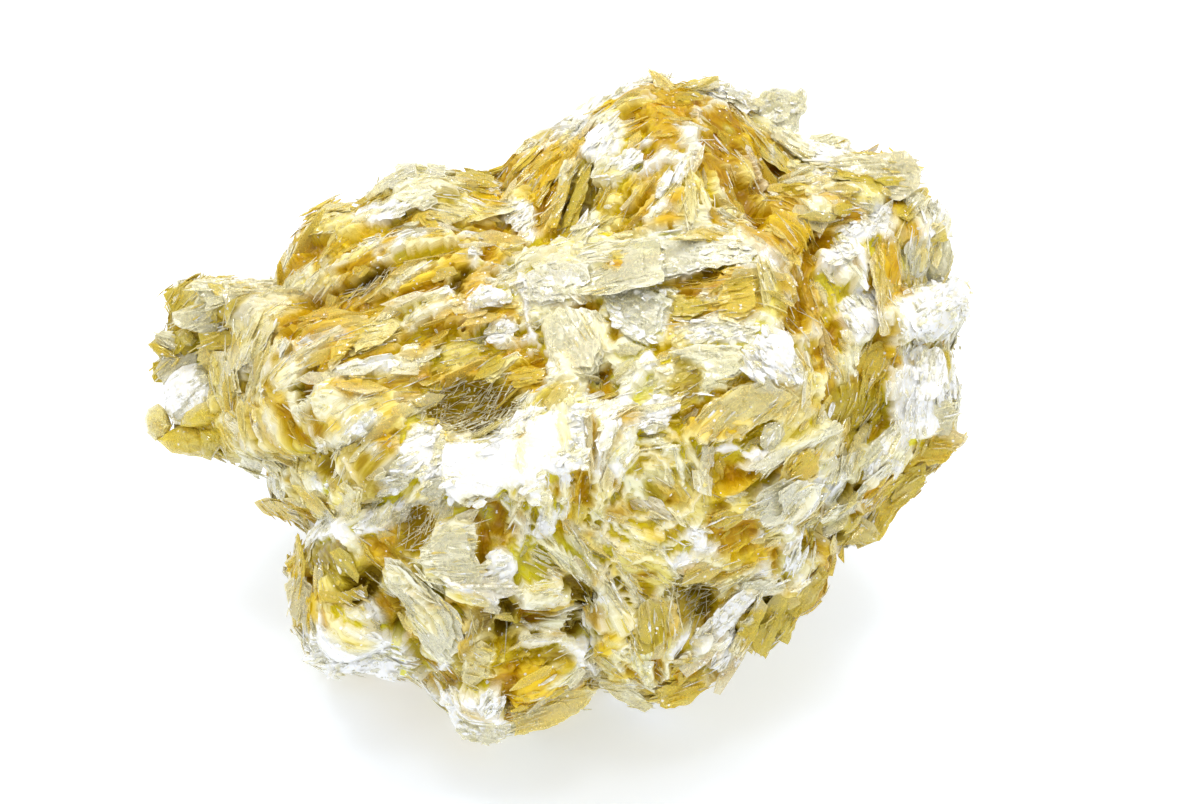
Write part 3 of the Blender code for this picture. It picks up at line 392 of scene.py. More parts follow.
# ---------------------------------------------------------------- the features the eye picks out
# outline features of the show side: kind, lift in mm, strike in degrees, mode, corners in layout points
# modes: f flat slab, d domed lens, p pit, s smooth slab (kept free of small flakes), g glassy dome
SLABS = [
    ("O", 0.7, 15, "f", [(165, 290), (185, 281), (230, 284), (262, 292), (240, 318), (205, 325), (172, 310)]),
    ("S", 0.9, 5, "f", [(200, 287), (226, 284), (230, 303), (208, 311)]),
    ("S", 0.8, 0, "f", [(172, 286), (190, 283), (196, 296), (178, 303)]),
    ("O", 0.9, 30, "f", [(148, 345), (168, 330), (190, 330), (182, 350), (165, 362)]),
    ("Y", 0.7, 40, "f", [(152, 363), (182, 358), (184, 370), (168, 384), (153, 380)]),
    ("W", 2.6, 0, "g", [(171, 378), (180, 367), (194, 364), (206, 370), (211, 384), (207, 397), (195, 405), (181, 402), (172, 393)]),
    ("C", 1.0, 60, "d", [(148, 410), (172, 405), (180, 425), (170, 448), (152, 441)]),
    ("Y", 0.9, 10, "f", [(183, 412), (222, 409), (228, 430), (205, 447), (184, 440)]),
    ("O", 0.6, 10, "f", [(170, 440), (205, 446), (208, 457), (175, 452)]),
    ("C", 0.9, -50, "f", [(212, 350), (235, 355), (240, 392), (222, 405), (208, 385)]),
    ("C", 0.8, 45, "f", [(232, 330), (262, 315), (280, 322), (262, 352), (235, 372)]),
    ("S", 1.1, 48, "f", [(255, 385), (268, 360), (284, 338), (290, 343), (275, 372), (262, 392)]),
    ("G", -1.0, 35, "p", [(279, 345), (295, 318), (330, 298), (345, 290), (338, 305), (308, 322), (292, 345)]),
    ("B", -1.8, 25, "p", [(340, 300), (352, 283), (372, 272), (396, 266), (392, 280), (370, 295), (352, 305)]),
    ("B", -1.6, 35, "p", [(296, 402), (304, 382), (318, 366), (326, 366), (318, 385), (306, 402)]),
    ("S", 1.3, -8, "g", [(305, 392), (318, 384), (336, 383), (347, 391), (338, 400), (318, 401)]),
    ("C", 0.8, 25, "f", [(345, 340), (365, 325), (392, 318), (398, 328), (380, 345), (352, 356)]),
    ("G", 0.7, 25, "f", [(330, 345), (352, 325), (360, 332), (345, 356), (330, 372)]),
    ("A", -1.4, 10, "p", [(303, 262), (300, 245), (314, 234), (335, 236), (342, 248), (330, 260), (316, 270)]),
    ("C", 1.0, 18, "f", [(305, 235), (315, 217), (335, 212), (362, 218), (356, 231), (330, 233)]),
    ("C", 0.8, 10, "f", [(318, 214), (325, 204), (350, 202), (352, 214)]),
    ("W", 1.2, 15, "s", [(362, 216), (372, 203), (398, 200), (410, 208), (400, 217), (378, 221)]),
    ("S", 1.3, 40, "f", [(388, 186), (398, 166), (412, 163), (418, 176), (402, 193)]),
    ("S", 1.1, 25, "f", [(408, 205), (412, 195), (430, 193), (438, 203), (424, 211)]),
    ("S", 1.0, 30, "f", [(420, 183), (428, 165), (444, 165), (446, 178), (432, 190)]),
    ("O", 0.9, 15, "f", [(452, 188), (458, 172), (480, 170), (494, 176), (486, 190), (466, 194)]),
    ("C", 0.9, 10, "f", [(425, 218), (440, 205), (468, 204), (470, 215), (448, 226)]),
    ("G", 0.9, -20, "f", [(414, 207), (424, 205), (436, 220), (446, 233), (436, 237), (422, 224)]),
    ("C", 0.8, 15, "f", [(460, 214), (500, 199), (532, 197), (528, 206), (498, 214), (470, 222)]),
    ("W", 1.0, 60, "f", [(500, 216), (516, 204), (532, 203), (534, 241), (522, 234)]),
    ("A", -1.0, 60, "p", [(497, 203), (506, 180), (524, 160), (532, 162), (524, 184), (508, 206)]),
    ("A", -1.1, 5, "p", [(450, 231), (480, 226), (522, 231), (524, 240), (488, 241), (455, 241)]),
    ("G", 1.1, 68, "f", [(540, 233), (552, 195), (568, 160), (582, 135), (588, 142), (572, 180), (556, 232)]),
    ("O", 1.0, 66, "f", [(556, 240), (570, 200), (584, 165), (592, 160), (586, 195), (572, 238)]),
    ("B", -2.6, 75, "p", [(566, 226), (572, 206), (585, 200), (592, 210), (586, 226), (574, 232)]),
    ("G", 1.0, 62, "f", [(530, 200), (545, 165), (560, 140), (570, 138), (560, 168), (540, 206)]),
    ("W", 1.6, 60, "s", [(583, 152), (588, 128), (600, 112), (616, 112), (622, 126), (616, 146), (604, 162), (590, 164)]),
    ("W", 1.1, 20, "f", [(592, 172), (606, 158), (640, 150), (642, 162), (622, 176), (600, 182)]),
    ("C", 1.4, 0, "d", [(598, 202), (602, 190), (612, 186), (619, 193), (616, 204), (606, 208)]),
    ("C", 1.3, 0, "d", [(597, 222), (602, 211), (611, 210), (614, 219), (607, 226)]),
    ("S", 1.1, 62, "f", [(579, 243), (582, 226), (594, 208), (600, 211), (591, 232), (585, 246)]),
    # the long silver leaf over the middle
    ("S", 0.7, 8, "s", [(518, 262), (545, 248), (590, 242), (640, 238), (660, 236), (664, 281), (650, 286), (600, 296), (560, 292), (530, 282)]),
    ("Z", 0.6, 2, "s", [(650, 238), (690, 232), (735, 236), (762, 246), (752, 262), (715, 266), (690, 274), (656, 283)]),
    ("C", 0.6, -6, "f", [(600, 278), (640, 268), (676, 262), (678, 274), (640, 284), (604, 290)]),
    ("O", 0.5, 4, "f", [(603, 256), (622, 246), (642, 246), (636, 259), (612, 264)]),
    ("G", 0.9, 0, "f", [(668, 240), (700, 226), (738, 226), (764, 240), (738, 244), (700, 241)]),
    ("Z", 0.7, -35, "s", [(525, 300), (524, 275), (548, 262), (588, 264), (590, 282), (566, 300), (540, 306)]),
    ("A", -0.9, 20, "p", [(553, 273), (560, 263), (574, 261), (572, 269), (560, 275)]),
    ("A", -0.9, 5, "p", [(568, 303), (580, 298), (601, 300), (600, 311), (578, 313)]),
    ("G", 1.0, -28, "f", [(652, 78), (662, 72), (674, 84), (680, 95), (668, 94), (656, 86)]),
    ("O", 1.1, 10, "f", [(678, 90), (690, 80), (716, 76), (720, 86), (704, 94), (684, 98)]),
    ("W", 1.2, 0, "s", [(697, 99), (706, 88), (728, 83), (742, 90), (738, 101), (714, 105)]),
    ("S", 1.5, -5, "g", [(754, 100), (766, 91), (790, 88), (805, 98), (808, 116), (796, 130), (772, 129), (758, 118)]),
    ("A", -1.0, 20, "p", [(619, 124), (628, 112), (650, 110), (648, 121), (630, 128)]),
    ("A", -0.9, 20, "p", [(639, 158), (646, 146), (661, 144), (660, 156), (648, 162)]),
    ("G", 1.4, 20, "d", [(646, 128), (652, 112), (668, 108), (683, 118), (684, 136), (672, 148), (655, 145)]),
    ("A", -1.2, -25, "p", [(700, 118), (716, 106), (742, 112), (748, 138), (736, 166), (716, 168), (704, 148)]),
    ("Y", 1.0, -28, "f", [(738, 126), (752, 130), (778, 152), (802, 172), (796, 180), (768, 162), (742, 142)]),
    ("W", 1.2, 45, "f", [(702, 142), (697, 160), (682, 180), (674, 184), (678, 166), (692, 146)]),
    ("W", 1.1, 68, "f", [(674, 172), (668, 188), (660, 202), (655, 198), (662, 182), (668, 170)]),
    ("C", 1.1, 88, "f", [(685, 180), (695, 180), (697, 205), (694, 230), (685, 228), (684, 204)]),
    ("A", -1.0, -20, "p", [(758, 162), (770, 156), (786, 162), (782, 176), (768, 180), (759, 174)]),
    ("A", -1.6, -55, "p", [(724, 186), (738, 176), (756, 186), (764, 214), (764, 236), (750, 236), (736, 214)]),
    ("W", 1.2, 0, "d", [(815, 164), (820, 156), (832, 157), (836, 168), (829, 176), (818, 174)]),
    ("S", 1.1, 20, "f", [(802, 148), (812, 135), (832, 133), (850, 140), (846, 151), (824, 154)]),
    ("O", 1.4, 8, "s", [(832, 178), (838, 158), (862, 152), (900, 153), (917, 160), (919, 176), (898, 182), (862, 183)]),
    ("C", 1.1, 10, "d", [(848, 190), (862, 182), (890, 183), (905, 192), (886, 199), (860, 200)]),
    ("O", 1.2, 0, "d", [(835, 209), (838, 201), (848, 200), (852, 208), (846, 216), (838, 216)]),
    ("S", 0.9, 12, "f", [(800, 217), (812, 210), (834, 212), (832, 221), (812, 224)]),
    ("O", 1.0, 55, "f", [(897, 216), (904, 194), (922, 188), (932, 196), (926, 212), (908, 222)]),
    ("W", 1.1, 70, "f", [(925, 228), (928, 208), (942, 202), (948, 214), (944, 232), (932, 236)]),
    ("A", -1.8, 60, "p", [(798, 254), (806, 236), (824, 230), (841, 236), (836, 252), (822, 262), (818, 284), (806, 286), (800, 268)]),
    ("W", 1.2, 35, "f", [(824, 260), (832, 247), (852, 243), (862, 250), (850, 261), (834, 266)]),
    ("W", 0.9, 20, "f", [(838, 240), (850, 222), (876, 212), (896, 214), (890, 228), (866, 238), (848, 246)]),
    ("G", 0.8, 68, "f", [(868, 262), (884, 238), (900, 240), (904, 262), (898, 300), (890, 336), (880, 334), (876, 298)]),
    ("S", 1.0, 78, "f", [(904, 248), (914, 236), (928, 236), (934, 254), (926, 276), (910, 280)]),
    ("O", 0.8, 75, "f", [(904, 286), (908, 273), (922, 270), (928, 280), (922, 291)]),
    ("C", 0.8, 80, "f", [(930, 226), (944, 236), (948, 262), (940, 276), (930, 262)]),
    ("W", 2.2, 15, "s", [(897, 305), (905, 292), (925, 285), (945, 282), (965, 281), (968, 290), (971, 305), (968, 313),
                         (955, 325), (940, 337), (925, 342), (905, 345), (898, 330)]),
    ("O", 0.9, 70, "f", [(930, 358), (944, 350), (952, 360), (948, 378), (934, 376)]),
    ("W", 1.4, 80, "s", [(884, 384), (900, 368), (930, 362), (948, 378), (950, 404), (942, 430), (918, 440), (896, 436), (886, 412)]),
    ("W", 1.0, -65, "s", [(838, 318), (846, 296), (866, 284), (884, 290), (882, 316), (866, 340), (848, 342)]),
    ("G", 0.8, 45, "f", [(852, 372), (860, 348), (882, 340), (898, 350), (892, 372), (872, 386)]),
    ("A", -1.0, 70, "p", [(822, 338), (828, 322), (837, 324), (836, 342), (828, 352)]),
    ("A", -0.9, 75, "p", [(802, 356), (806, 338), (814, 336), (814, 354), (808, 364)]),
    ("A", -1.7, -78, "p", [(781, 334), (784, 306), (792, 288), (804, 290), (808, 310), (802, 332), (792, 340)]),
    ("O", 1.2, 60, "d", [(830, 412), (836, 388), (856, 378), (876, 384), (884, 404), (874, 422), (850, 426)]),
    ("B", -2.2, 75, "p", [(845, 446), (848, 424), (858, 418), (864, 428), (858, 444)]),
    ("A", -1.0, 50, "p", [(877, 432), (880, 422), (890, 420), (894, 428), (886, 436)]),
    ("C", 0.9, 60, "f", [(848, 452), (854, 436), (866, 420), (872, 424), (866, 440), (856, 456)]),
    ("S", 0.9, 46, "f", [(858, 462), (872, 442), (896, 420), (902, 428), (884, 448), (868, 468)]),
    ("W", 0.9, 60, "f", [(862, 480), (864, 468), (880, 454), (888, 458), (874, 474), (870, 484)]),
    ("S", 1.0, 40, "f", [(852, 500), (862, 484), (888, 464), (896, 470), (878, 490), (860, 506)]),
    ("S", 1.0, 70, "f", [(824, 482), (834, 460), (856, 452), (860, 462), (846, 480)]),
    ("B", -1.8, 60, "p", [(826, 492), (832, 478), (844, 474), (846, 486), (836, 498)]),
    ("G", 1.2, 30, "f", [(778, 484), (786, 458), (808, 446), (820, 456), (818, 476), (800, 490)]),
    ("S", 1.3, 25, "s", [(778, 492), (798, 480), (824, 485), (821, 500), (802, 519), (784, 520)]),
    ("S", 1.1, 27, "f", [(752, 468), (770, 452), (806, 436), (840, 422), (844, 430), (806, 450), (766, 474)]),
    ("S", 1.0, 8, "f", [(818, 520), (828, 508), (858, 502), (874, 496), (872, 506), (846, 518), (824, 524)]),
    ("A", -1.1, 8, "p", [(840, 522), (846, 512), (860, 509), (864, 516), (854, 524)]),
    ("B", -1.6, 5, "p", [(822, 536), (826, 524), (844, 522), (846, 532), (834, 540)]),
    ("A", 0.9, 45, "f", [(862, 506), (874, 484), (898, 474), (922, 480), (920, 492), (900, 508), (876, 520)]),
    ("O", 1.2, 10, "d", [(843, 542), (848, 527), (862, 522), (876, 530), (874, 544), (858, 550)]),
    ("G", 1.0, 10, "f", [(930, 460), (930, 436), (948, 428), (968, 436), (962, 446), (948, 452), (940, 466)]),
    # middle
    ("Z", 0.8, -25, "s", [(605, 300), (612, 286), (645, 286), (680, 290), (668, 312), (661, 332), (648, 346), (624, 334), (610, 318)]),
    ("O", 0.7, 5, "f", [(668, 318), (674, 302), (700, 298), (708, 308), (690, 320)]),
    ("G", 0.8, 4, "f", [(718, 318), (722, 284), (742, 270), (758, 282), (756, 312), (738, 324)]),
    ("C", 0.9, -75, "f", [(756, 262), (768, 258), (780, 290), (782, 326), (772, 332), (762, 300)]),
    ("W", 0.9, 5, "f", [(662, 330), (690, 318), (730, 318), (762, 326), (752, 340), (706, 342), (672, 344)]),
    ("A", -0.5, 5, "p", [(683, 282), (694, 272), (712, 270), (712, 280), (698, 286)]),
    ("A", -0.8, 5, "p", [(678, 300), (684, 291), (702, 291), (700, 299)]),
    ("A", -0.8, 10, "p", [(603, 324), (610, 314), (625, 316), (622, 326)]),
    ("A", -0.9, 60, "p", [(606, 346), (610, 332), (622, 332), (620, 344)]),
    ("O", 0.4, 20, "d", [(664, 400), (668, 368), (686, 354), (702, 364), (704, 392), (690, 410), (674, 412)]),
    ("W", 0.9, 20, "d", [(640, 372), (640, 354), (652, 348), (658, 358), (652, 372)]),
    ("W", 1.0, 10, "f", [(638, 428), (642, 404), (660, 394), (672, 402), (668, 422), (652, 432)]),
    ("C", 1.3, 40, "s", [(690, 430), (705, 405), (740, 385), (770, 378), (800, 398), (782, 416), (760, 424), (722, 442), (700, 440)]),
    ("W", 1.6, -40, "s", [(744, 372), (746, 344), (768, 328), (790, 336), (800, 362), (798, 386), (776, 384), (756, 384)]),
    ("C", 0.8, -10, "s", [(668, 352), (700, 344), (742, 346), (742, 372), (724, 384), (700, 396), (706, 372), (690, 356)]),
    ("A", -0.6, 40, "p", [(704, 436), (716, 420), (738, 408), (742, 414), (722, 428), (710, 440)]),
    ("Y", 0.8, 20, "d", [(720, 436), (730, 426), (744, 426), (740, 438), (728, 442)]),
    ("W", 1.2, 5, "g", [(710, 448), (722, 442), (740, 443), (743, 450), (728, 455), (714, 454)]),
    ("A", -1.0, 15, "p", [(713, 476), (718, 464), (734, 460), (742, 468), (736, 482), (722, 486)]),
    ("A", -0.9, 20, "p", [(744, 482), (746, 468), (757, 464), (757, 476)]),
    ("A", -0.9, 70, "p", [(766, 488), (768, 470), (776, 468), (777, 484)]),
    ("S", 1.0, 60, "f", [(760, 446), (764, 426), (782, 418), (785, 434), (774, 450)]),
    ("S", 0.9, 85, "f", [(699, 468), (702, 448), (712, 446), (714, 466), (706, 474)]),
    ("A", -0.5, 20, "p", [(586, 396), (592, 378), (606, 370), (618, 376), (614, 394), (600, 404)]),
    # crevice and plates left of the middle
    ("A", -1.5, 22, "p", [(396, 306), (402, 296), (424, 288), (444, 280), (446, 288), (426, 298), (406, 310)]),
    ("B", -2.0, 20, "p", [(446, 292), (450, 276), (464, 270), (474, 278), (468, 292), (456, 296)]),
    ("A", -0.9, 5, "p", [(408, 258), (414, 249), (432, 249), (432, 258)]),
    ("A", -0.9, 30, "p", [(474, 266), (482, 252), (496, 246), (498, 252), (486, 266)]),
    ("W", 1.0, 20, "f", [(466, 256), (470, 246), (482, 243), (482, 254)]),
    ("W", 1.3, 15, "s", [(468, 300), (480, 284), (500, 290), (512, 298), (504, 306), (492, 306), (475, 309)]),
    ("W", 1.1, 10, "d", [(435, 292), (442, 283), (456, 282), (456, 290), (444, 296)]),
    ("W", 1.1, 30, "d", [(410, 318), (412, 309), (419, 307), (420, 316), (414, 321)]),
    ("A", -0.8, 10, "p", [(428, 334), (434, 325), (448, 325), (446, 334)]),
    ("C", 1.1, 20, "d", [(441, 362), (446, 344), (464, 338), (481, 344), (478, 360), (460, 368)]),
    ("W", 1.0, 15, "f", [(484, 340), (490, 322), (506, 317), (518, 324), (512, 338), (496, 344)]),
    ("C", 1.2, -60, "s", [(545, 318), (560, 308), (596, 310), (610, 324), (610, 352), (596, 374), (566, 378), (548, 354)]),
    ("S", 0.8, 0, "g", [(589, 372), (594, 360), (606, 359), (609, 368), (600, 376)]),
    ("A", -0.9, -10, "p", [(498, 396), (506, 366), (524, 354), (546, 358), (540, 380), (520, 398)]),
    ("G", 0.9, -8, "f", [(506, 374), (524, 366), (545, 370), (538, 384), (516, 388)]),
    ("C", 0.9, 35, "f", [(484, 378), (496, 362), (518, 350), (522, 356), (506, 370), (492, 384)]),
    # the sparkling hollow (its sparkle painted glints) and the white ledge under it (its white partly painted
    # highlight)
    ("O", -2.6, 20, "p", [(418, 418), (424, 396), (446, 380), (478, 376), (510, 384), (530, 402), (532, 420), (508, 432),
                          (486, 442), (460, 446), (436, 438)]),
    ("B", -1.4, 20, "p", [(462, 440), (468, 426), (492, 422), (502, 430), (486, 442)]),
    ("W", 2.3, 4, "s", [(445, 448), (470, 446), (490, 440), (510, 430), (530, 420), (560, 403), (580, 400), (588, 403), (584, 425),
                        (588, 470), (560, 470), (545, 468), (548, 500), (540, 510), (520, 485), (500, 490), (490, 500),
                        (470, 510), (450, 500), (440, 470)]),
    ("W", 1.5, 30, "s", [(400, 444), (420, 424), (440, 430), (446, 452), (442, 478), (424, 486), (404, 472)]),
    ("W", 1.2, 20, "f", [(372, 486), (386, 464), (402, 462), (414, 480), (402, 492), (384, 496)]),
    ("G", 0.7, 88, "f", [(584, 412), (592, 410), (593, 440), (591, 472), (584, 470), (585, 440)]),
    ("W", 1.4, 60, "f", [(596, 440), (604, 420), (618, 412), (622, 424), (610, 442), (600, 456)]),
    ("A", -1.0, 85, "p", [(574, 500), (576, 474), (588, 472), (592, 496), (584, 504)]),
    ("O", -1.3, 50, "p", [(415, 500), (432, 506), (441, 520), (432, 534), (424, 548), (414, 556), (400, 546), (394, 522), (402, 508)]),
    ("S", 1.1, 35, "f", [(400, 512), (416, 488), (440, 476), (446, 486), (440, 506), (420, 504)]),
    ("A", -1.1, 65, "p", [(470, 520), (478, 500), (494, 496), (510, 504), (512, 530), (500, 542), (482, 538)]),
    ("W", 1.0, 75, "f", [(532, 532), (540, 514), (554, 514), (556, 528), (544, 538)]),
    # left flank
    ("A", -0.9, -42, "p", [(268, 404), (282, 400), (306, 426), (322, 450), (314, 458), (292, 438)]),
    ("C", 0.9, -45, "f", [(222, 418), (232, 410), (262, 444), (300, 486), (312, 502), (300, 504), (262, 466), (234, 438)]),
    ("C", 0.9, -45, "f", [(250, 406), (262, 404), (290, 440), (318, 468), (322, 480), (302, 472), (272, 442)]),
    ("S", 1.2, -60, "f", [(238, 468), (244, 446), (256, 442), (266, 460), (258, 478)]),
    ("S", 1.1, -65, "f", [(266, 484), (272, 466), (284, 464), (288, 486), (278, 500)]),
    ("B", -1.5, -60, "p", [(282, 502), (286, 488), (298, 487), (302, 500), (292, 508)]),
    ("S", 1.1, 30, "d", [(300, 502), (304, 486), (318, 483), (325, 496), (316, 506)]),
    ("G", 1.0, -22, "f", [(255, 503), (266, 497), (296, 502), (322, 508), (318, 518), (288, 520), (264, 514)]),
    ("O", -1.6, 60, "p", [(319, 470), (322, 448), (336, 440), (348, 450), (346, 468), (332, 476)]),
    ("W", 0.9, 30, "f", [(318, 448), (330, 436), (350, 428), (372, 408), (378, 414), (360, 434), (338, 444)]),
    ("G", 0.8, 20, "d", [(368, 446), (374, 434), (390, 430), (392, 440), (380, 448)]),
    ("C", 1.1, 30, "f", [(322, 520), (330, 492), (346, 480), (362, 490), (360, 512), (342, 522)]),
    ("W", 1.2, 10, "f", [(314, 536), (318, 520), (336, 514), (352, 522), (346, 534), (330, 538)]),
    # lower left
    ("O", 1.4, -45, "g", [(303, 536), (320, 540), (340, 548), (356, 562), (362, 580), (345, 592), (325, 588), (312, 572), (305, 555)]),
    ("G", 0.9, -30, "f", [(318, 592), (345, 594), (366, 584), (368, 596), (346, 606), (322, 602)]),
    ("Y", 0.8, 80, "d", [(286, 590), (288, 568), (302, 560), (314, 580), (320, 602), (314, 624), (298, 628), (290, 610)]),
    ("B", -1.8, -45, "p", [(350, 602), (356, 578), (370, 562), (386, 560), (386, 578), (372, 598), (358, 608)]),
    ("B", -1.8, -50, "p", [(384, 640), (390, 616), (404, 604), (416, 610), (412, 630), (396, 644)]),
    ("A", -1.0, -42, "p", [(398, 644), (408, 636), (426, 654), (438, 672), (430, 678), (412, 664)]),
    ("W", 1.9, -6, "s", [(303, 642), (310, 634), (340, 632), (372, 634), (398, 640), (414, 654), (418, 666), (400, 673),
                         (345, 673), (325, 669), (309, 656)]),
    ("W", 1.6, 10, "g", [(363, 618), (366, 609), (376, 608), (377, 616), (370, 621)]),
    ("S", 1.4, -42, "s", [(385, 558), (400, 560), (420, 580), (442, 598), (460, 615), (463, 640), (456, 655), (442, 665), (425, 650),
                          (415, 630), (402, 602), (386, 586)]),
    ("W", 1.3, 30, "d", [(436, 666), (440, 655), (449, 655), (449, 665), (442, 670)]),
    ("S", 1.2, 5, "s", [(416, 560), (430, 540), (445, 525), (475, 525), (476, 555), (486, 575), (478, 591), (446, 584), (428, 570)]),
    ("A", -1.2, 85, "p", [(474, 560), (475, 528), (484, 524), (488, 548), (484, 562)]),
    ("W", 2.0, 20, "s", [(485, 560), (492, 552), (502, 551), (511, 558), (517, 566), (512, 578), (503, 590), (492, 594), (483, 588), (481, 572)]),
    ("C", 1.0, 10, "f", [(460, 680), (468, 650), (482, 640), (494, 650), (488, 676), (472, 690)]),
    # bottom centre
    ("S", 1.1, -20, "f", [(528, 566), (532, 550), (550, 551), (567, 570), (555, 581), (536, 577)]),
    ("G", 0.9, -45, "f", [(540, 540), (552, 538), (572, 558), (582, 576), (572, 580), (554, 562)]),
    ("G", 0.9, -48, "f", [(562, 534), (574, 532), (594, 556), (604, 574), (594, 578), (576, 556)]),
    ("B", -1.5, 5, "p", [(556, 598), (562, 580), (582, 576), (604, 584), (600, 598), (578, 604)]),
    ("C", 1.0, 12, "f", [(514, 608), (520, 590), (542, 580), (570, 584), (566, 598), (540, 606)]),
    ("B", -1.9, 10, "p", [(494, 608), (498, 594), (514, 590), (522, 600), (510, 612)]),
    ("B", -1.9, 70, "p", [(490, 642), (492, 618), (506, 612), (512, 624), (504, 642)]),
    ("A", -1.0, 3, "p", [(518, 622), (520, 608), (548, 604), (550, 616), (530, 624)]),
    ("B", -1.6, 5, "p", [(558, 632), (562, 610), (576, 608), (580, 622), (570, 634)]),
    ("S", 1.1, -60, "f", [(594, 566), (604, 560), (622, 590), (640, 640), (640, 654), (628, 650), (608, 606)]),
    ("S", 1.0, -58, "f", [(612, 560), (622, 556), (640, 584), (650, 612), (642, 620), (626, 590)]),
    ("C", 1.2, -38, "s", [(610, 562), (626, 544), (654, 540), (672, 556), (682, 584), (660, 584), (632, 578)]),
    ("O", -1.8, 30, "p", [(656, 590), (668, 574), (690, 572), (710, 582), (716, 600), (706, 616), (690, 620), (694, 602), (676, 592)]),
    ("A", -1.2, 25, "p", [(698, 540), (704, 512), (724, 500), (750, 506), (758, 526), (744, 544), (716, 548)]),
    ("G", 0.4, 20, "f", [(706, 528), (716, 510), (738, 506), (744, 518), (726, 532)]),
    ("W", 1.4, 45, "g", [(696, 548), (706, 537), (715, 546), (708, 558), (700, 558)]),
    ("S", 1.3, 22, "s", [(754, 512), (760, 492), (784, 478), (802, 484), (804, 508), (786, 526), (764, 528)]),
    ("A", -1.0, 10, "p", [(765, 560), (772, 547), (786, 549), (785, 562), (774, 570)]),
    ("W", 1.3, 85, "f", [(786, 570), (788, 530), (796, 524), (802, 536), (800, 566), (794, 574)]),
    ("S", 1.4, 5, "s", [(738, 592), (744, 582), (766, 580), (787, 583), (784, 593), (762, 597)]),
    ("B", -1.5, 5, "p", [(740, 614), (744, 599), (768, 600), (782, 604), (770, 616), (752, 620)]),
    ("C", 1.3, 0, "d", [(795, 612), (796, 596), (806, 589), (815, 598), (812, 612), (802, 618)]),
    ("O", 1.2, 70, "f", [(736, 640), (740, 622), (752, 616), (758, 636), (752, 654)]),
    ("O", 1.3, 70, "f", [(756, 650), (760, 626), (772, 618), (776, 640), (766, 658)]),
    ("O", 1.2, 65, "f", [(778, 640), (778, 616), (792, 604), (796, 624), (787, 646)]),
    ("W", 1.7, 55, "f", [(698, 658), (704, 640), (722, 618), (744, 597), (762, 592), (752, 606), (734, 628), (712, 652)]),
    ("W", 1.6, 52, "f", [(711, 668), (716, 650), (732, 630), (741, 640), (727, 668), (718, 673)]),
    ("A", -1.2, 75, "p", [(696, 652), (698, 622), (706, 610), (720, 612), (712, 634), (702, 656)]),
    # the lump at the foot
    ("C", 1.5, -15, "d", [(443, 690), (462, 684), (490, 690), (505, 705), (506, 728), (487, 743), (470, 742), (455, 735), (447, 715)]),
    ("W", 1.9, -20, "s", [(440, 691), (452, 686), (470, 698), (486, 712), (478, 719), (460, 710), (444, 700)]),
    ("W", 1.8, 60, "s", [(478, 712), (481, 694), (494, 688), (505, 696), (502, 712), (490, 718)]),
    ("W", 1.9, -15, "d", [(463, 742), (468, 733), (482, 731), (492, 738), (486, 744)]),
    ("A", -1.0, 85, "p", [(498, 712), (500, 664), (512, 658), (517, 684), (514, 710), (506, 722)]),
    ("Y", 1.4, 30, "d", [(517, 716), (518, 682), (540, 668), (566, 676), (572, 696), (560, 716), (536, 724)]),
    ("G", 1.3, 25, "f", [(560, 712), (564, 696), (586, 684), (596, 690), (588, 704), (572, 716)]),
    ("O", 1.1, 5, "g", [(536, 664), (544, 648), (566, 643), (582, 650), (580, 662), (560, 666)]),
    ("W", 1.6, 20, "g", [(572, 652), (576, 640), (590, 636), (599, 645), (595, 657), (582, 661)]),
    ("Y", 1.3, 30, "d", [(596, 656), (600, 638), (616, 633), (626, 643), (622, 656), (608, 662)]),
    ("C", 1.0, -32, "f", [(598, 684), (610, 676), (636, 692), (654, 706), (644, 712), (618, 700)]),
    ("O", 0.8, -75, "f", [(628, 650), (634, 612), (650, 600), (668, 608), (664, 636), (646, 656)]),
    ("A", -0.9, -82, "p", [(654, 682), (655, 640), (663, 632), (665, 664), (661, 684)]),
    ("G", 0.8, -50, "f", [(664, 690), (676, 660), (690, 650), (694, 668), (682, 692)]),
]
# long thin features: kind, lift, width in layout points, points along
# the pale glassy masses right of the middle and below it keep their see-through sheets pale
for _j, _row in enumerate(SLABS):
    _cx, _cy = np.mean([q[0] for q in _row[4]]), np.mean([q[1] for q in _row[4]])
    if _row[0] in "CGY" and _row[3] in "fs" and (((_cx - 655) / 98) ** 2 + ((_cy - 362) / 72) ** 2 < 1 or ((_cx - 560) / 80) ** 2 + ((_cy - 545) / 62) ** 2 < 1):
        SLABS[_j] = ("S",) + tuple(_row[1:])

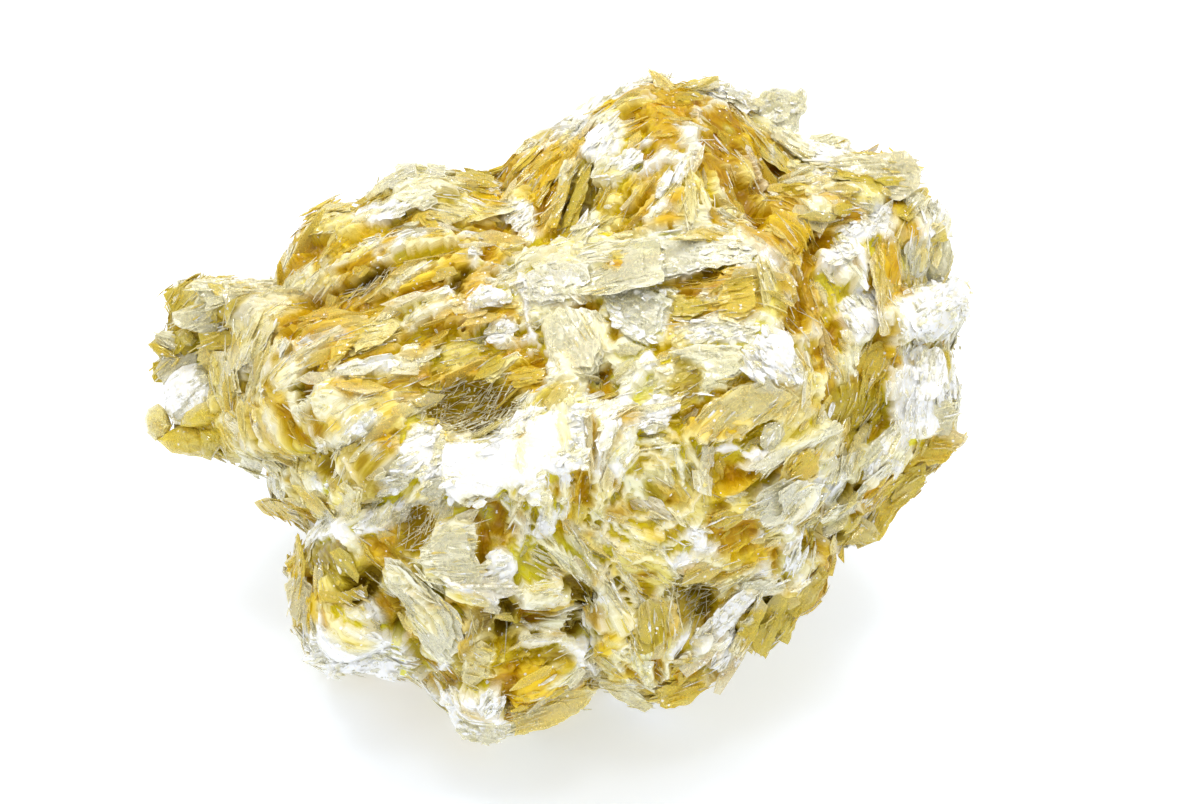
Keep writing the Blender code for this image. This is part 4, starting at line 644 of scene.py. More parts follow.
STREAKS = [
    ("S", 1.1, 6, [(243, 318), (262, 305), (300, 285), (345, 262), (400, 250), (440, 240)]),
    ("C", 0.8, 6, [(255, 322), (290, 300), (330, 280), (372, 266)]),
    ("C", 0.9, 6, [(225, 360), (250, 330), (268, 318)]), ("C", 0.8, 6, [(236, 392), (262, 352), (282, 330)]),
    ("S", 0.8, 6, [(272, 392), (292, 358), (318, 336)]), ("C", 0.9, 6, [(290, 384), (312, 350), (340, 322)]),
    ("A", -0.9, 6, [(262, 400), (282, 366), (302, 342)]), ("A", -0.8, 6, [(248, 352), (268, 330)]),
    ("A", -1.0, 6, [(345, 320), (372, 304), (402, 292)]), ("C", 0.9, 6, [(372, 322), (402, 306), (432, 300)]),
    ("S", 1.0, 6, [(398, 340), (420, 320), (446, 306), (462, 302)]), ("G", 0.8, 6, [(410, 356), (432, 340), (452, 330)]),
    ("C", 0.9, 6, [(380, 250), (420, 238), (462, 236)]), ("A", -1.0, 6, [(330, 282), (360, 262), (392, 256)]),
    ("G", 0.8, 6, [(430, 272), (470, 258), (512, 252)]), ("A", -0.9, 6, [(478, 262), (488, 244), (500, 240)]),
    ("W", 0.9, 5, [(520, 265), (522, 290), (528, 318), (545, 355)]),
    ("S", 0.9, 6, [(600, 288), (640, 278), (676, 270)]), ("S", 1.6, 5, [(560, 262), (620, 252), (680, 250), (740, 252)]),
    ("G", 1.3, 5, [(590, 276), (650, 264), (706, 258)]), ("S", 1.5, 5, [(540, 286), (600, 284), (648, 276)]),
    ("W", 0.9, 6, [(672, 238), (700, 225), (740, 225), (762, 240)]),
    ("C", 1.0, 6, [(548, 228), (562, 186), (578, 150)]), ("A", -1.1, 6, [(552, 210), (566, 172), (576, 158)]),
    ("S", 1.0, 6, [(566, 190), (580, 160), (588, 150)]), ("A", -1.0, 6, [(536, 222), (546, 190)]),
    ("C", 1.0, 6, [(596, 182), (610, 172), (634, 166)]), ("G", 0.9, 6, [(622, 216), (640, 190), (660, 172)]),
    ("A", -1.1, 6, [(636, 214), (652, 190)]), ("C", 1.0, 6, [(648, 224), (664, 204), (676, 186)]),
    ("A", -1.1, 7, [(704, 200), (712, 222), (728, 234)]), ("C", 0.9, 6, [(714, 176), (724, 206), (744, 232)]),
    ("A", -1.2, 6, [(680, 112), (700, 104), (716, 100)]), ("C", 0.9, 6, [(748, 112), (772, 134), (798, 150)]),
    ("A", -1.1, 6, [(748, 136), (768, 150)]), ("S", 0.9, 6, [(812, 188), (840, 182), (870, 186)]),
    ("W", 0.9, 6, [(850, 230), (880, 224), (900, 232)]), ("G", 0.8, 6, [(912, 226), (922, 240), (928, 256)]),
    ("A", -1.0, 5, [(938, 262), (935, 282)]), ("A", -1.0, 6, [(888, 318), (897, 338)]),
    ("A", -1.1, 5, [(940, 420), (952, 394)]), ("C", 0.9, 6, [(800, 344), (808, 372), (800, 394)]),
    ("W", 1.0, 6, [(790, 345), (800, 368), (800, 392)]), ("A", -0.9, 6, [(818, 360), (822, 384)]),
    ("C", 0.9, 6, [(812, 400), (822, 384), (832, 366)]), ("S", 0.9, 6, [(846, 366), (858, 344), (866, 330)]),
    ("G", 0.9, 6, [(806, 420), (820, 410), (832, 398)]),
    # the rosette
    ("C", 1.1, 7, [(618, 440), (640, 430), (668, 430), (690, 446), (700, 470), (698, 500)]),
    ("S", 0.9, 6, [(608, 462), (622, 446), (644, 441), (668, 446), (682, 464), (684, 488)]),
    ("C", 0.8, 6, [(626, 470), (636, 456), (652, 454), (666, 464), (670, 482)]),
    ("S", 1.0, 6, [(604, 480), (606, 504), (620, 524), (644, 534), (672, 528), (694, 510)]),
    ("C", 0.8, 6, [(620, 488), (624, 506), (640, 518), (660, 516), (676, 502)]),
    ("S", 1.0, 6, [(600, 508), (616, 532), (644, 546), (676, 544), (704, 524)]),
    ("C", 1.0, 6, [(598, 530), (620, 550), (652, 560), (684, 554)]),
    ("A", -0.6, 6, [(630, 500), (636, 512)]), ("A", -0.6, 6, [(672, 496), (666, 510)]),
    ("W", 1.2, 5, [(606, 446), (598, 470), (598, 500)]), ("C", 0.8, 6, [(688, 516), (700, 492), (704, 460)]),
    ("O", -0.7, 12, [(642, 484), (652, 494), (664, 504)]), ("A", -0.8, 7, [(606, 478), (616, 490)]),
    # striations under the ledge
    ("C", 0.8, 6, [(548, 470), (550, 500), (548, 520)]), ("A", -0.9, 5, [(556, 472), (558, 500)]),
    ("S", 0.9, 6, [(564, 474), (566, 504), (562, 524)]), ("G", 0.6, 5, [(572, 474), (574, 500)]),
    ("C", 0.8, 6, [(596, 474), (596, 500), (590, 524)]),
    ("C", 1.0, 6, [(562, 404), (564, 430), (566, 464)]), ("S", 0.9, 5, [(520, 440), (524, 470)]),
    ("W", 1.0, 6, [(498, 498), (512, 520), (528, 536)]), ("C", 0.8, 6, [(508, 492), (524, 512), (536, 526)]),
    ("C", 0.9, 6, [(336, 450), (348, 470), (358, 486)]), ("W", 0.9, 5, [(320, 450), (330, 464), (340, 476)]),
    ("G", 0.8, 6, [(262, 508), (282, 522), (300, 538)]), ("S", 0.9, 6, [(388, 500), (378, 520), (362, 534)]),
    ("C", 0.9, 6, [(400, 580), (424, 604), (446, 640)]), ("S", 1.6, 5, [(394, 566), (428, 596), (452, 632)]),
    ("G", 0.8, 6, [(438, 600), (462, 606), (486, 610)]), ("C", 0.9, 6, [(470, 612), (476, 640), (472, 668)]),
    ("C", 0.9, 6, [(452, 596), (476, 600), (488, 606)]),
    ("W", 1.1, 6, [(520, 645), (540, 638), (562, 640), (582, 650), (598, 680)]),
    ("S", 0.9, 6, [(600, 576), (612, 610), (622, 650)]), ("S", 0.9, 6, [(584, 612), (596, 636)]),
    ("C", 1.0, 6, [(520, 634), (540, 626), (556, 630)]), ("W", 1.0, 5, [(660, 545), (672, 560), (680, 580)]),
    ("C", 0.9, 5, [(624, 566), (646, 556), (664, 562)]), ("A", -0.8, 5, [(632, 572), (652, 568)]),
    ("C", 0.9, 6, [(690, 560), (716, 566), (744, 562)]), ("C", 0.9, 6, [(712, 588), (736, 576), (762, 572)]),
    ("S", 0.9, 6, [(716, 600), (726, 588), (740, 580)]), ("G", 0.8, 6, [(806, 520), (812, 545), (808, 570)]),
    ("C", 0.9, 6, [(818, 530), (822, 550), (816, 572)]), ("A", -1.0, 6, [(812, 506), (826, 530)]),
    ("W", 1.0, 6, [(672, 664), (686, 640), (694, 620)]), ("C", 0.9, 6, [(640, 664), (650, 690)]),
    ("S", 0.9, 6, [(615, 660), (628, 684), (640, 700)]), ("A", -0.9, 6, [(628, 660), (640, 680)]),
]


# ---------------------------------------------------------------- blades grown into the skin
H = np.zeros(NV)
TINT = np.tile(np.array((0.80, 0.66, 0.24)), (NV, 1))
# white share of each spot: pearly sheet, partly painted highlight
WHITE_AND_HIGHLIGHT = np.zeros(NV)
RND = np.full(NV, 0.5)
SMOOTH = np.zeros(NV)
LAY = np.stack([BASE @ U, BASE @ V, BASE @ W], 1)


def stamp(i, strike, L, B, rise, tx, ty, dome, power, terrace, kind, white, r, own=False):
    """One slab of sheets: outline L x B about a spot, tilted and stepped, kept where it stands highest."""
    P, N = BASE[i], NRM[i]
    near = np.array([q[1] for q in KD.find_range(Vector(P), 1.08 * math.hypot(L, B * 0.6))])
    if len(near) < 3:
        return
    d = BASE[near] - P
    side = np.cross(N, strike)
    x, y = d @ strike, d @ side
    skew, ph = 0.7 * (r.random() - 0.5), r.random(4) * 6.28
    rag = 1 + 0.16 * np.sin(x * (5.2 / B) + ph[0]) + 0.20 * np.sin(y * (9.0 / B) + ph[1]) + 0.08 * np.sin(y * (21.0 / B) + ph[2])
    rx, ry = np.abs(x / L + skew * y / L), np.abs(y / B)
    rho = (rx ** power + ry ** power) ** (1.0 / power) / rag
    keep = (rho < 1.0) & ((NRM[near] @ N) > 0.25)
    if not keep.any():
        return
    near, x, y, rho = near[keep], x[keep], y[keep], rho[keep]
    yy = y
    if terrace > 0:
        q = (y + 0.25 * np.sin(x * 1.3 + ph[3])) / terrace
        fr = q - np.floor(q)
        yy = terrace * (np.floor(q) + np.clip((fr - 0.62) / 0.38, 0, 1))
    h = rise + tx * x + ty * yy - dome * (x * x + y * y) / max(L, 0.1)
    h = np.where(rho > 0.86, h - (rho - 0.86) * 0.35, h)
    win = h > H[near]
    near, x, y, h = near[win], x[win], y[win], h[win]
    H[near] = h
    TINT[near] = TINT[i] * (0.94 + 0.12 * r.random()) if own else tint_of(kind, r)
    WHITE_AND_HIGHLIGHT[near] = np.clip(WHITE_AND_HIGHLIGHT[i] if own else white, 0, 1)
    RND[near] = r.random()
    LAY[near, 0], LAY[near, 1], LAY[near, 2] = x, y, r.random() * 60.0


def random_stamps(count, lmin, lmax, skew_pow, jump, share_other, same=0.0):
    r = RNG
    chance = CELL_AREA * np.where(FACING > -0.1, 1.0, 0.45) * (BASE[:, 2] > 0.6) * (1 - 0.93 * SMOOTH)
    for i in r.choice(NV, count, p=chance / chance.sum()):
        kind, strike, face = style_at(i, r)
        front = FACING[i] > -0.1
        L = (lmin + (lmax - lmin) * r.random() ** skew_pow) * (1.0 if front else 1.35)
        flat = r.random() < face
        B = L * ((0.45 + 0.4 * r.random()) if flat else (0.16 + 0.22 * r.random()))
        steep = 0.22 if flat else 0.5
        if kind == "W":
            steep *= 0.5
        rise = H[i] + jump[0] + (jump[1] - jump[0]) * r.random()
        if kind == "B":
            rise -= 0.5 * jump[1]
        white = KINDS[kind][1] + 0.2 * (r.random() - 0.5)
        if r.random() < share_other:
            kind = plain_kind(r.random())
            white = KINDS[kind][1]
        if r.random() < 0.05:
            white = 0.9
        own = r.random() < same
        stamp(i, strike, L, B, rise, 0.16 * (r.random() - 0.5), steep * (r.random() * 2 - 1), 0.10 * r.random() if flat else 0.03,
              1.0 + 2.2 * r.random() ** 1.5, 0 if r.random() < 0.65 else 0.5 + 0.7 * r.random(), kind, white, r, own)


random_stamps(420, 3.0, 7.5, 1.3, (-0.2, 1.1), 0.15)
random_stamps(2200, 1.3, 3.8, 1.5, (-0.1, 0.55), 0.15)

FI = np.where(FACING > 0.02)[0]
WX, WY, _ = unplace(BASE + NRM * H[:, None])
LEAN_X, LEAN_Y = (NRM @ U) / STEP, -(NRM @ V) / STEP
WX[FI] += noise_at(BASE[FI], 260.0, (1, 1, 1)) * 7.0 + noise_at(BASE[FI], 700.0, (2, 1, 1)) * 2.5
WY[FI] += noise_at(BASE[FI], 260.0, (1, 2, 1)) * 7.0 + noise_at(BASE[FI], 700.0, (1, 1, 3)) * 2.5
SMOOTH = np.zeros(NV)
PITTED = np.zeros(NV)


def nearby(pts, lift, reach):
    """Front skin points around a feature and where they will show once lifted."""
    q = np.array(pts, float)
    x, y = WX[FI] + lift * LEAN_X[FI], WY[FI] + lift * LEAN_Y[FI]
    ok = (x > q[:, 0].min() - reach) & (x < q[:, 0].max() + reach) & (y > q[:, 1].min() - reach) & (y < q[:, 1].max() + reach)
    return q, FI[ok], x[ok], y[ok]


def within(pts, lift=0.0):
    """Front skin points inside an outline (layout points), with their distance to its edge."""
    q, c, x, y = nearby(pts, lift, 0.0)
    ins = np.zeros(len(c), bool)
    dist = np.full(len(c), 1e9)
    for k in range(len(q)):
        x0, y0 = q[k]
        x1, y1 = q[(k + 1) % len(q)]
        ins ^= ((y0 > y) != (y1 > y)) & (x < (x1 - x0) * (y - y0) / ((y1 - y0) or 1e-9) + x0)
        t = np.clip(((x - x0) * (x1 - x0) + (y - y0) * (y1 - y0)) / ((x1 - x0) ** 2 + (y1 - y0) ** 2 + 1e-9), 0, 1)
        dist = np.minimum(dist, np.hypot(x - x0 - t * (x1 - x0), y - y0 - t * (y1 - y0)))
    return c[ins], dist[ins]


def paint(idx, kind, ang, cx, cy, white, shade=1.0):
    TINT[idx] = tint_of(kind, RNG) * shade
    WHITE_AND_HIGHLIGHT[idx] = white
    RND[idx] = RNG.random()
    dx, dy = (PX[idx] - cx) * STEP, (cy - PY[idx]) * STEP
    LAY[idx, 0] = dx * math.cos(ang) + dy * math.sin(ang)
    LAY[idx, 1] = -dx * math.sin(ang) + dy * math.cos(ang)
    LAY[idx, 2] = RNG.random() * 60.0


for kind, lift, deg, mode, pts in SLABS:
    idx, dist = within(pts, 0.6 * lift if mode == "p" else lift - 0.45)
    if len(idx) < 4:
        continue
    cx, cy = sum(p[0] for p in pts) / len(pts), sum(p[1] for p in pts) / len(pts)
    ang = math.radians(deg)
    far = max(dist.max(), 1.0)
    ref = H[idx].mean()
    x = ((PX[idx] - cx) * math.cos(ang) + (cy - PY[idx]) * math.sin(ang)) * STEP
    y = (-(PX[idx] - cx) * math.sin(ang) + (cy - PY[idx]) * math.cos(ang)) * STEP
    tx, ty = 0.10 * (RNG.random() - 0.5), 0.24 * (RNG.random() - 0.5)
    if mode == "p":
        H[idx] = np.minimum(H[idx] * 0.5 + ref * 0.4, ref) + 0.6 * lift * np.minimum(1.0, dist / (0.55 * far)) ** 0.8
        paint(idx, kind, ang, cx, cy, 0.0)
        PITTED[idx] = np.clip(dist / (0.4 * far), 0, 1) * 0.9
        continue
    if mode in "dg":
        h = ref + (lift - 0.45) * np.sqrt(np.clip(dist / far, 0, 1)) + 0.5 * tx * x
    elif mode == "s":
        h = ref + lift - 0.45 + 0.7 * tx * x + 0.8 * ty * y - 0.12 * (1 - np.clip(dist / 5.0, 0, 1)) ** 2
        h = h + 0.06 * np.sin(x * 1.7 + lift * 9) + 0.05 * np.sin(y * 2.6 + deg)
    else:
        step_ = 0.5 + 0.4 * RNG.random()
        q = (y + 0.2 * np.sin(x * 1.1 + deg)) / step_
        fr = q - np.floor(q)
        yy = step_ * (np.floor(q) + np.clip((fr - 0.6) / 0.4, 0, 1))
        h = ref + lift - 0.45 + tx * x + 1.6 * ty * yy - 0.10 * (1 - np.clip(dist / 4.0, 0, 1)) ** 2
    H[idx] = h
    SMOOTH[idx] = {"s": 0.85, "g": 1.0, "d": 0.5, "f": 0.3}[mode]
    paint(idx, kind, ang, cx, cy, 1.0 if kind == "W" else KINDS[kind][1])

for kind, lift, wide_, pts in STREAKS:
    q, c, vx, vy = nearby(pts, 0.45 * lift if lift < 0 else lift - 0.35, wide_ * 0.8)
    seg = np.hypot(*(q[1:] - q[:-1]).T)
    run = np.concatenate([[0], np.cumsum(seg)])
    best, at, angle = np.full(len(c), 1e9), np.zeros(len(c)), np.zeros(len(c))
    for k in range(len(q) - 1):
        (x0, y0), (x1, y1) = q[k], q[k + 1]
        t = np.clip(((vx - x0) * (x1 - x0) + (vy - y0) * (y1 - y0)) / (seg[k] ** 2 + 1e-9), 0, 1)
        d = np.hypot(vx - x0 - t * (x1 - x0), vy - y0 - t * (y1 - y0))
        closer = d < best
        best = np.where(closer, d, best)
        at = np.where(closer, (run[k] + t * seg[k]) / run[-1], at)
    hw = wide_ * 0.62 * np.clip(np.sin(math.pi * np.clip(at, 0.02, 0.98)), 0.05, 1) ** 0.45
    ins = best < hw
    idx = c[ins]
    if len(idx) < 3:
        continue
    crown = 1 - (best[ins] / hw[ins]) ** 2
    if lift < 0:
        H[idx] = H[idx] + lift * 0.45 * crown
        PITTED[idx] = 0.8 * crown
    else:
        H[idx] = 0.5 * H[idx] + 0.5 * H[idx].mean() + (lift - 0.35) * np.sqrt(crown)
    ang = math.atan2(q[0, 1] - q[-1, 1], q[-1, 0] - q[0, 0])
    paint(idx, kind, ang, q[:, 0].mean(), q[:, 1].mean(), 1.0 if kind == "W" else KINDS[kind][1] + (0.2 if kind in "SC" else 0.0))

random_stamps(3200, 0.5, 1.6, 1.2, (0.0, 0.24), 0.20, 0.65)
TINT = np.clip(soften(TINT, 2), 0.004, 0.98)
WHITE_AND_HIGHLIGHT = soften(WHITE_AND_HIGHLIGHT, 2)

# heights, hollows and ridges of the finished skin; the hollow mask becomes painted shade (warm amber crevices) and the
# ridge mask a painted highlight on raised edges, partly the pale edges of the sheets
H = 0.6 * H + 0.4 * around(H)
H = np.clip(H, -3.0, 4.2) * np.where(FACING < 0.35, 0.65 + 0.35 * np.clip(np.abs(FACING) / 0.35, 0, 1), 1.0)
SKIN = BASE + NRM * H[:, None]
grit = noise_at(SKIN, 1400.0, (5, 1, 9))
SKIN = SKIN + NRM * (grit * 0.07)[:, None]
low = soften(H, 3)
mid = soften(low, 12)
wide = soften(mid, 40)
# painted highlight on raised edges, partly the pale edges of the sheets
EDGE_PALE_AND_HIGHLIGHT = np.clip((H - low) / 0.10, 0, 1)
# painted shade: depth below the smoothed skin and the pits, later tinting the crevices deep amber
DEEP_SHADE = np.clip(0.55 * (mid - H) / 0.35 + 0.60 * (wide - mid) / 0.50, 0, 1)
DEEP_SHADE = np.maximum(DEEP_SHADE, soften(PITTED, 1))
drop_ = np.abs(H[EDGE[:, 0]] - H[EDGE[:, 1]]) / (np.linalg.norm(BASE[EDGE[:, 0]] - BASE[EDGE[:, 1]], axis=1) + 1e-6)
STEEP = np.zeros(NV)
np.maximum.at(STEEP, EDGE[:, 0], drop_)
np.maximum.at(STEEP, EDGE[:, 1], drop_)
STEEP = np.clip((STEEP - 0.55) / 0.7, 0, 1)
SKIN_N = normals_of(SKIN)
print("skin", NV, len(TRI), "height", H.min(), H.max())
TREE = BVHTree.FromPolygons([Vector(p) for p in SKIN], [tuple(t) for t in TRI.tolist()])


# ---------------------------------------------------------------- loose shards
class Bin:
    """Growing set of closed thin solids that end up in one piece."""

    def __init__(self):
        self.v, self.f, self.tint, self.mix, self.lay, self.ridge, self.n = [], [], [], [], [], [], 0

    def add(self, verts, faces, tint, mix, lay):
        self.v.append(verts)
        self.f.extend([tuple(f) for f in (np.asarray(faces) + self.n).tolist()])
        self.tint.append(tint)
        self.mix.append(mix)
        self.lay.append(lay)
        self.n += len(verts)


K6 = 6
_t = []
for k in range(K6):
    k2 = (k + 1) % K6
    _t += [(k, k2, 2 * K6 + k2), (k, 2 * K6 + k2, 2 * K6 + k), (2 * K6 + k, 2 * K6 + k2, 3 * K6)]
    _t += [(3 * K6 + 1, K6 + k2, K6 + k), (k2, k, K6 + k), (k2, K6 + k, K6 + k2)]
SHARD_T = np.array(_t)


def build_shards(rows, into, pointed=0.0):
    """rows: c, a (long), b, up, L, B, th, bow, k, tint, white, rnd, deep -> six-cornered thin shards."""
    if not rows:
        return
    n = len(rows)
    get = lambda k: np.array([q[k] for q in rows])
    c, a, b, up = get("c"), get("a"), get("b"), get("up")
    L, B, th, bow = get("L"), get("B"), get("th"), get("bow")
    ang = (np.arange(K6)[None, :] + RNG.uniform(-0.38, 0.38, (n, K6))) * 2 * math.pi / K6 + RNG.uniform(-0.5, 0.5, (n, 1))
    rad = RNG.uniform(0.62, 1.12, (n, K6))
    x = np.concatenate([np.cos(ang) * rad, RNG.uniform(-0.15, 0.15, (n, 1))], 1) * L[:, None]
    y = np.concatenate([np.sin(ang) * rad, RNG.uniform(-0.15, 0.15, (n, 1))], 1) * B[:, None]
    rim = np.minimum(0.30, 0.13 / B)[:, None]
    xi, yi = x[:, :K6] * (1 - rim * 0.6), y[:, :K6] * (1 - rim)
    X, Y = np.concatenate([x, xi], 1), np.concatenate([y, yi], 1)
    Z = bow[:, None] * (X / L[:, None]) ** 2 * L[:, None]
    lift_ = RNG.uniform(-0.03, 0.03, (n, K6 + 1)) * L[:, None]
    Z = Z + np.concatenate([lift_, lift_[:, :K6]], 1)
    mid = c[:, None, :] + X[..., None] * a[:, None, :] + Y[..., None] * b[:, None, :] + Z[..., None] * up[:, None, :]
    off = 0.5 * th[:, None, None] * up[:, None, :]
    edge_ = mid[:, :K6]
    v = np.concatenate([edge_ + off * 0.5, edge_ - off, mid[:, K6 + 1:] + off, mid[:, K6:K6 + 1] + off, mid[:, K6:K6 + 1] - off], 1)
    m = 3 * K6 + 2
    lx = np.concatenate([x[:, :K6], x[:, :K6], xi, x[:, K6:], x[:, K6:]], 1)
    ly = np.concatenate([y[:, :K6], y[:, :K6], yi, y[:, K6:], y[:, K6:]], 1)
    lay = np.stack([lx, ly, np.broadcast_to(get("k")[:, None], lx.shape)], -1)
    mix = np.broadcast_to(np.stack([get("deep"), get("white"), 0.0 * get("rnd")], -1)[:, None, :], (n, m, 3))
    tint = np.broadcast_to(get("tint")[:, None, :], (n, m, 3))
    tris = (SHARD_T[None] + (np.arange(n) * m)[:, None, None]).reshape(-1, 3)
    into.add(v.reshape(-1, 3), tris, tint.reshape(-1, 3).copy(), mix.reshape(-1, 3).copy(), lay.reshape(-1, 3))
    # rim brightness of each shard: painted highlight, partly the pale edges of the sheets
    ring_ = np.concatenate([np.repeat(get("lit")[:, None], K6, 1), np.repeat(get("lit")[:, None] * 0.6, K6, 1), np.full((n, K6), 0.1), np.full((n, 2), 0.0)], 1)
    into.ridge.append(ring_.ravel())


def shard_rows(count, back=False, rim=False, big=0.0):
    r = RNG
    ok = (BASE[:, 2] > 1.2) & ((FACING <= -0.05) if back else (FACING > -0.05))
    chance = CELL_AREA * ok * (1 - 0.92 * SMOOTH) * (1 - 0.75 * np.clip(PITTED, 0, 1))
    if rim:
        chance = chance * (np.abs(FACING) < 0.30)
    rows = []
    for i in r.choice(NV, count, p=chance / chance.sum()):
        kind, strike, face = style_at(i, r)
        N = unit(NRM[i] + 0.6 * SKIN_N[i])
        strike = unit(strike - N * (strike @ N) + 1e-6)
        side = np.cross(N, strike)
        L = float(np.clip(math.exp(r.normal(0.0, 0.50)) * (0.62 + big), 0.22, 3.6)) * (1.5 if back else 1.0)
        flat = r.random() < face * 0.8 + 0.1
        if flat:
            up = turn(turn(N, strike, 0.9 * (r.random() - 0.5)), side, 0.5 * (r.random() - 0.5))
            B = L * (0.22 + 0.38 * r.random())
            c = SKIN[i] + N * (0.02 + 0.10 * r.random() * min(L, 1.5))
        else:
            up = turn(side, strike, 1.5 * (r.random() - 0.5))
            B = L * (0.10 + 0.22 * r.random())
            c = SKIN[i] + N * (B * (0.0 + 0.5 * r.random()))
        a = unit(strike - up * (strike @ up))
        a = turn(a, up, 0.35 * (r.random() - 0.5))
        b = np.cross(up, a)
        u = r.random()
        white = WHITE_AND_HIGHLIGHT[i] * 0.9 + (0.7 if u < 0.05 else 0.0)
        tint = TINT[i] * (0.86 + 0.24 * r.random()) if r.random() < 0.75 else tint_of(kind, r)
        pale = 0.0 if r.random() < 0.7 else 0.6 * r.random() * (0.15 if kind in "AOBGY" else 1.0)
        tint = np.clip(tint * (1 - pale) + np.array((0.90, 0.85, 0.52)) * pale, 0, 0.97)
        # the depth mask carried by each shard is painted crevice shade, and it also dims the shard's edge brightness
        rows.append(dict(c=c, a=a, b=b, up=up, L=L, B=B, th=0.05 + 0.07 * L * r.random(), bow=0.16 * (r.random() - 0.5), k=r.random() * 60,
                         tint=tint, white=min(1.0, white), rnd=r.random(), deep=DEEP_SHADE[i] * 0.7, lit=0.35 + 0.65 * r.random() * (1 - 0.5 * DEEP_SHADE[i])))
    return rows


def stack_rows(count, back=True):
    """Books of sheets: a few wide plates on each other with slivers along their grain."""
    r = RNG
    ok = (BASE[:, 2] > 2.0) & ((FACING <= 0.10) if back else (FACING > -0.05))
    chance = CELL_AREA * ok * (1 - 0.92 * SMOOTH) * (1 - 0.75 * np.clip(PITTED, 0, 1))
    rows = []
    for i in r.choice(NV, count, p=chance / chance.sum()):
        kind, strike, face = style_at(i, r)
        N = unit(NRM[i] + 0.4 * SKIN_N[i])
        strike = unit(strike - N * (strike @ N) + 1e-6)
        side = np.cross(N, strike)
        L = 1.1 + 2.4 * r.random() ** 1.4
        B = L * (0.28 + 0.42 * r.random())
        up = turn(turn(N, strike, 0.75 * (r.random() - 0.5)), side, 0.45 * (r.random() - 0.5))
        a = turn(unit(strike - up * (strike @ up)), up, 0.3 * (r.random() - 0.5))
        b = np.cross(up, a)
        base = SKIN[i] + N * 0.10
        white_one = kind in "WZ"
        for j in range(2 + (r.random() < 0.6)):
            f = 1 - 0.22 * j
            rows.append(dict(c=base + up * 0.20 * j + a * (r.random() - 0.5) * 0.5 * j + b * (r.random() - 0.5) * 0.4 * j, a=a, b=b, up=up, L=L * f, B=B * f,
                             th=0.16, bow=0.08 * (r.random() - 0.5), k=r.random() * 60, tint=tint_of(kind, r), white=KINDS[kind][1], rnd=0.0, deep=0.0, lit=0.5 + 0.5 * r.random()))
        top = 0.20 * j + 0.10
        for _k in range(int(2.2 * L * (1.3 if white_one else 1.0)) + 2):
            x, y = (r.random() * 2 - 1) * L * 0.8, (r.random() * 2 - 1) * B * 0.8
            if white_one:
                l2 = (2.5 + 6.0 * r.random()) * STEP
                b2 = l2 * (0.3 + 0.4 * r.random())
                up2 = turn(turn(up, a, 0.9 * (r.random() - 0.5)), b, 0.7 * (r.random() - 0.5))
                k2 = "W" if r.random() < 0.7 else "S"
            else:
                l2 = (4.0 + 12.0 * r.random() ** 1.3) * STEP
                b2 = (0.7 + 1.6 * r.random() ** 2) * STEP
                up2 = turn(up, a, 1.7 * (r.random() - 0.5))
                k2 = kind if r.random() < 0.55 else "CSWG"[int(r.random() * 4)]
            a2 = turn(a, up, (0.9 if white_one else 0.25) * (r.random() - 0.5))
            a2 = unit(a2 - up2 * (a2 @ up2))
            rows.append(dict(c=base + up * top + a * x + b * y, a=a2, b=np.cross(up2, a2), up=up2, L=l2, B=b2, th=0.06 + 0.05 * r.random(), bow=0.1 * (r.random() - 0.5),
                             k=r.random() * 60, tint=tint_of(k2, r), white=KINDS[k2][1], rnd=0.0, deep=0.0, lit=0.3 + 0.7 * r.random()))
    return rows


def needle_rows(count):
    """Hair-thin bright edges of sheets along the grain."""
    r = RNG
    ok = (BASE[:, 2] > 1.2) & (FACING > -0.05)
    chance = CELL_AREA * ok * (1 - 0.8 * SMOOTH) * (0.4 + WHITE_AND_HIGHLIGHT)
    rows = []
    for i in r.choice(NV, count, p=chance / chance.sum()):
        kind, strike, face = style_at(i, r)
        N = unit(NRM[i] + 0.5 * SKIN_N[i])
        strike = unit(strike - N * (strike @ N) + 1e-6)
        strike = turn(strike, N, 0.5 * (r.random() - 0.5))
        side = np.cross(N, strike)
        L = 0.7 + 1.9 * r.random() ** 1.6
        B = 0.035 + 0.045 * r.random()
        up = turn(N, strike, 1.2 * (r.random() - 0.5))
        rows.append(dict(c=SKIN[i] + N * (0.03 + 0.05 * r.random()), a=strike, b=np.cross(up, strike), up=up, L=L, B=B, th=0.05 + 0.04 * r.random(),
                         bow=0.25 * (r.random() - 0.6), k=r.random() * 60, tint=np.array((0.93, 0.90, 0.72)), white=0.4 + 0.6 * r.random(), rnd=r.random(), deep=0.0, lit=1.0))
    return rows


def glint_chip_rows(count):
    """Tiny white crumbs of sheet on the skin, coloured white as painted glints."""
    r = RNG
    ok = (BASE[:, 2] > 1.2) & (FACING > -0.05)
    chance = CELL_AREA * ok * (1 - 0.7 * SMOOTH)
    rows = []
    for i in r.choice(NV, count, p=chance / chance.sum()):
        N = SKIN_N[i]
        a = unit(np.cross(N, r.normal(size=3)))
        up = turn(N, a, 1.6 * (r.random() - 0.5))
        L = 0.10 + 0.24 * r.random() ** 2
        rows.append(dict(c=SKIN[i] + N * (0.02 + 0.08 * r.random()), a=a, b=np.cross(up, a), up=up, L=L, B=L * (0.4 + 0.5 * r.random()), th=0.03 + 0.03 * r.random(),
                         bow=0.0, k=r.random() * 60, tint=np.array((0.95, 0.94, 0.86)), white=0.8 + 0.2 * r.random(), rnd=r.random(), deep=0.0, lit=1.0))
    return rows


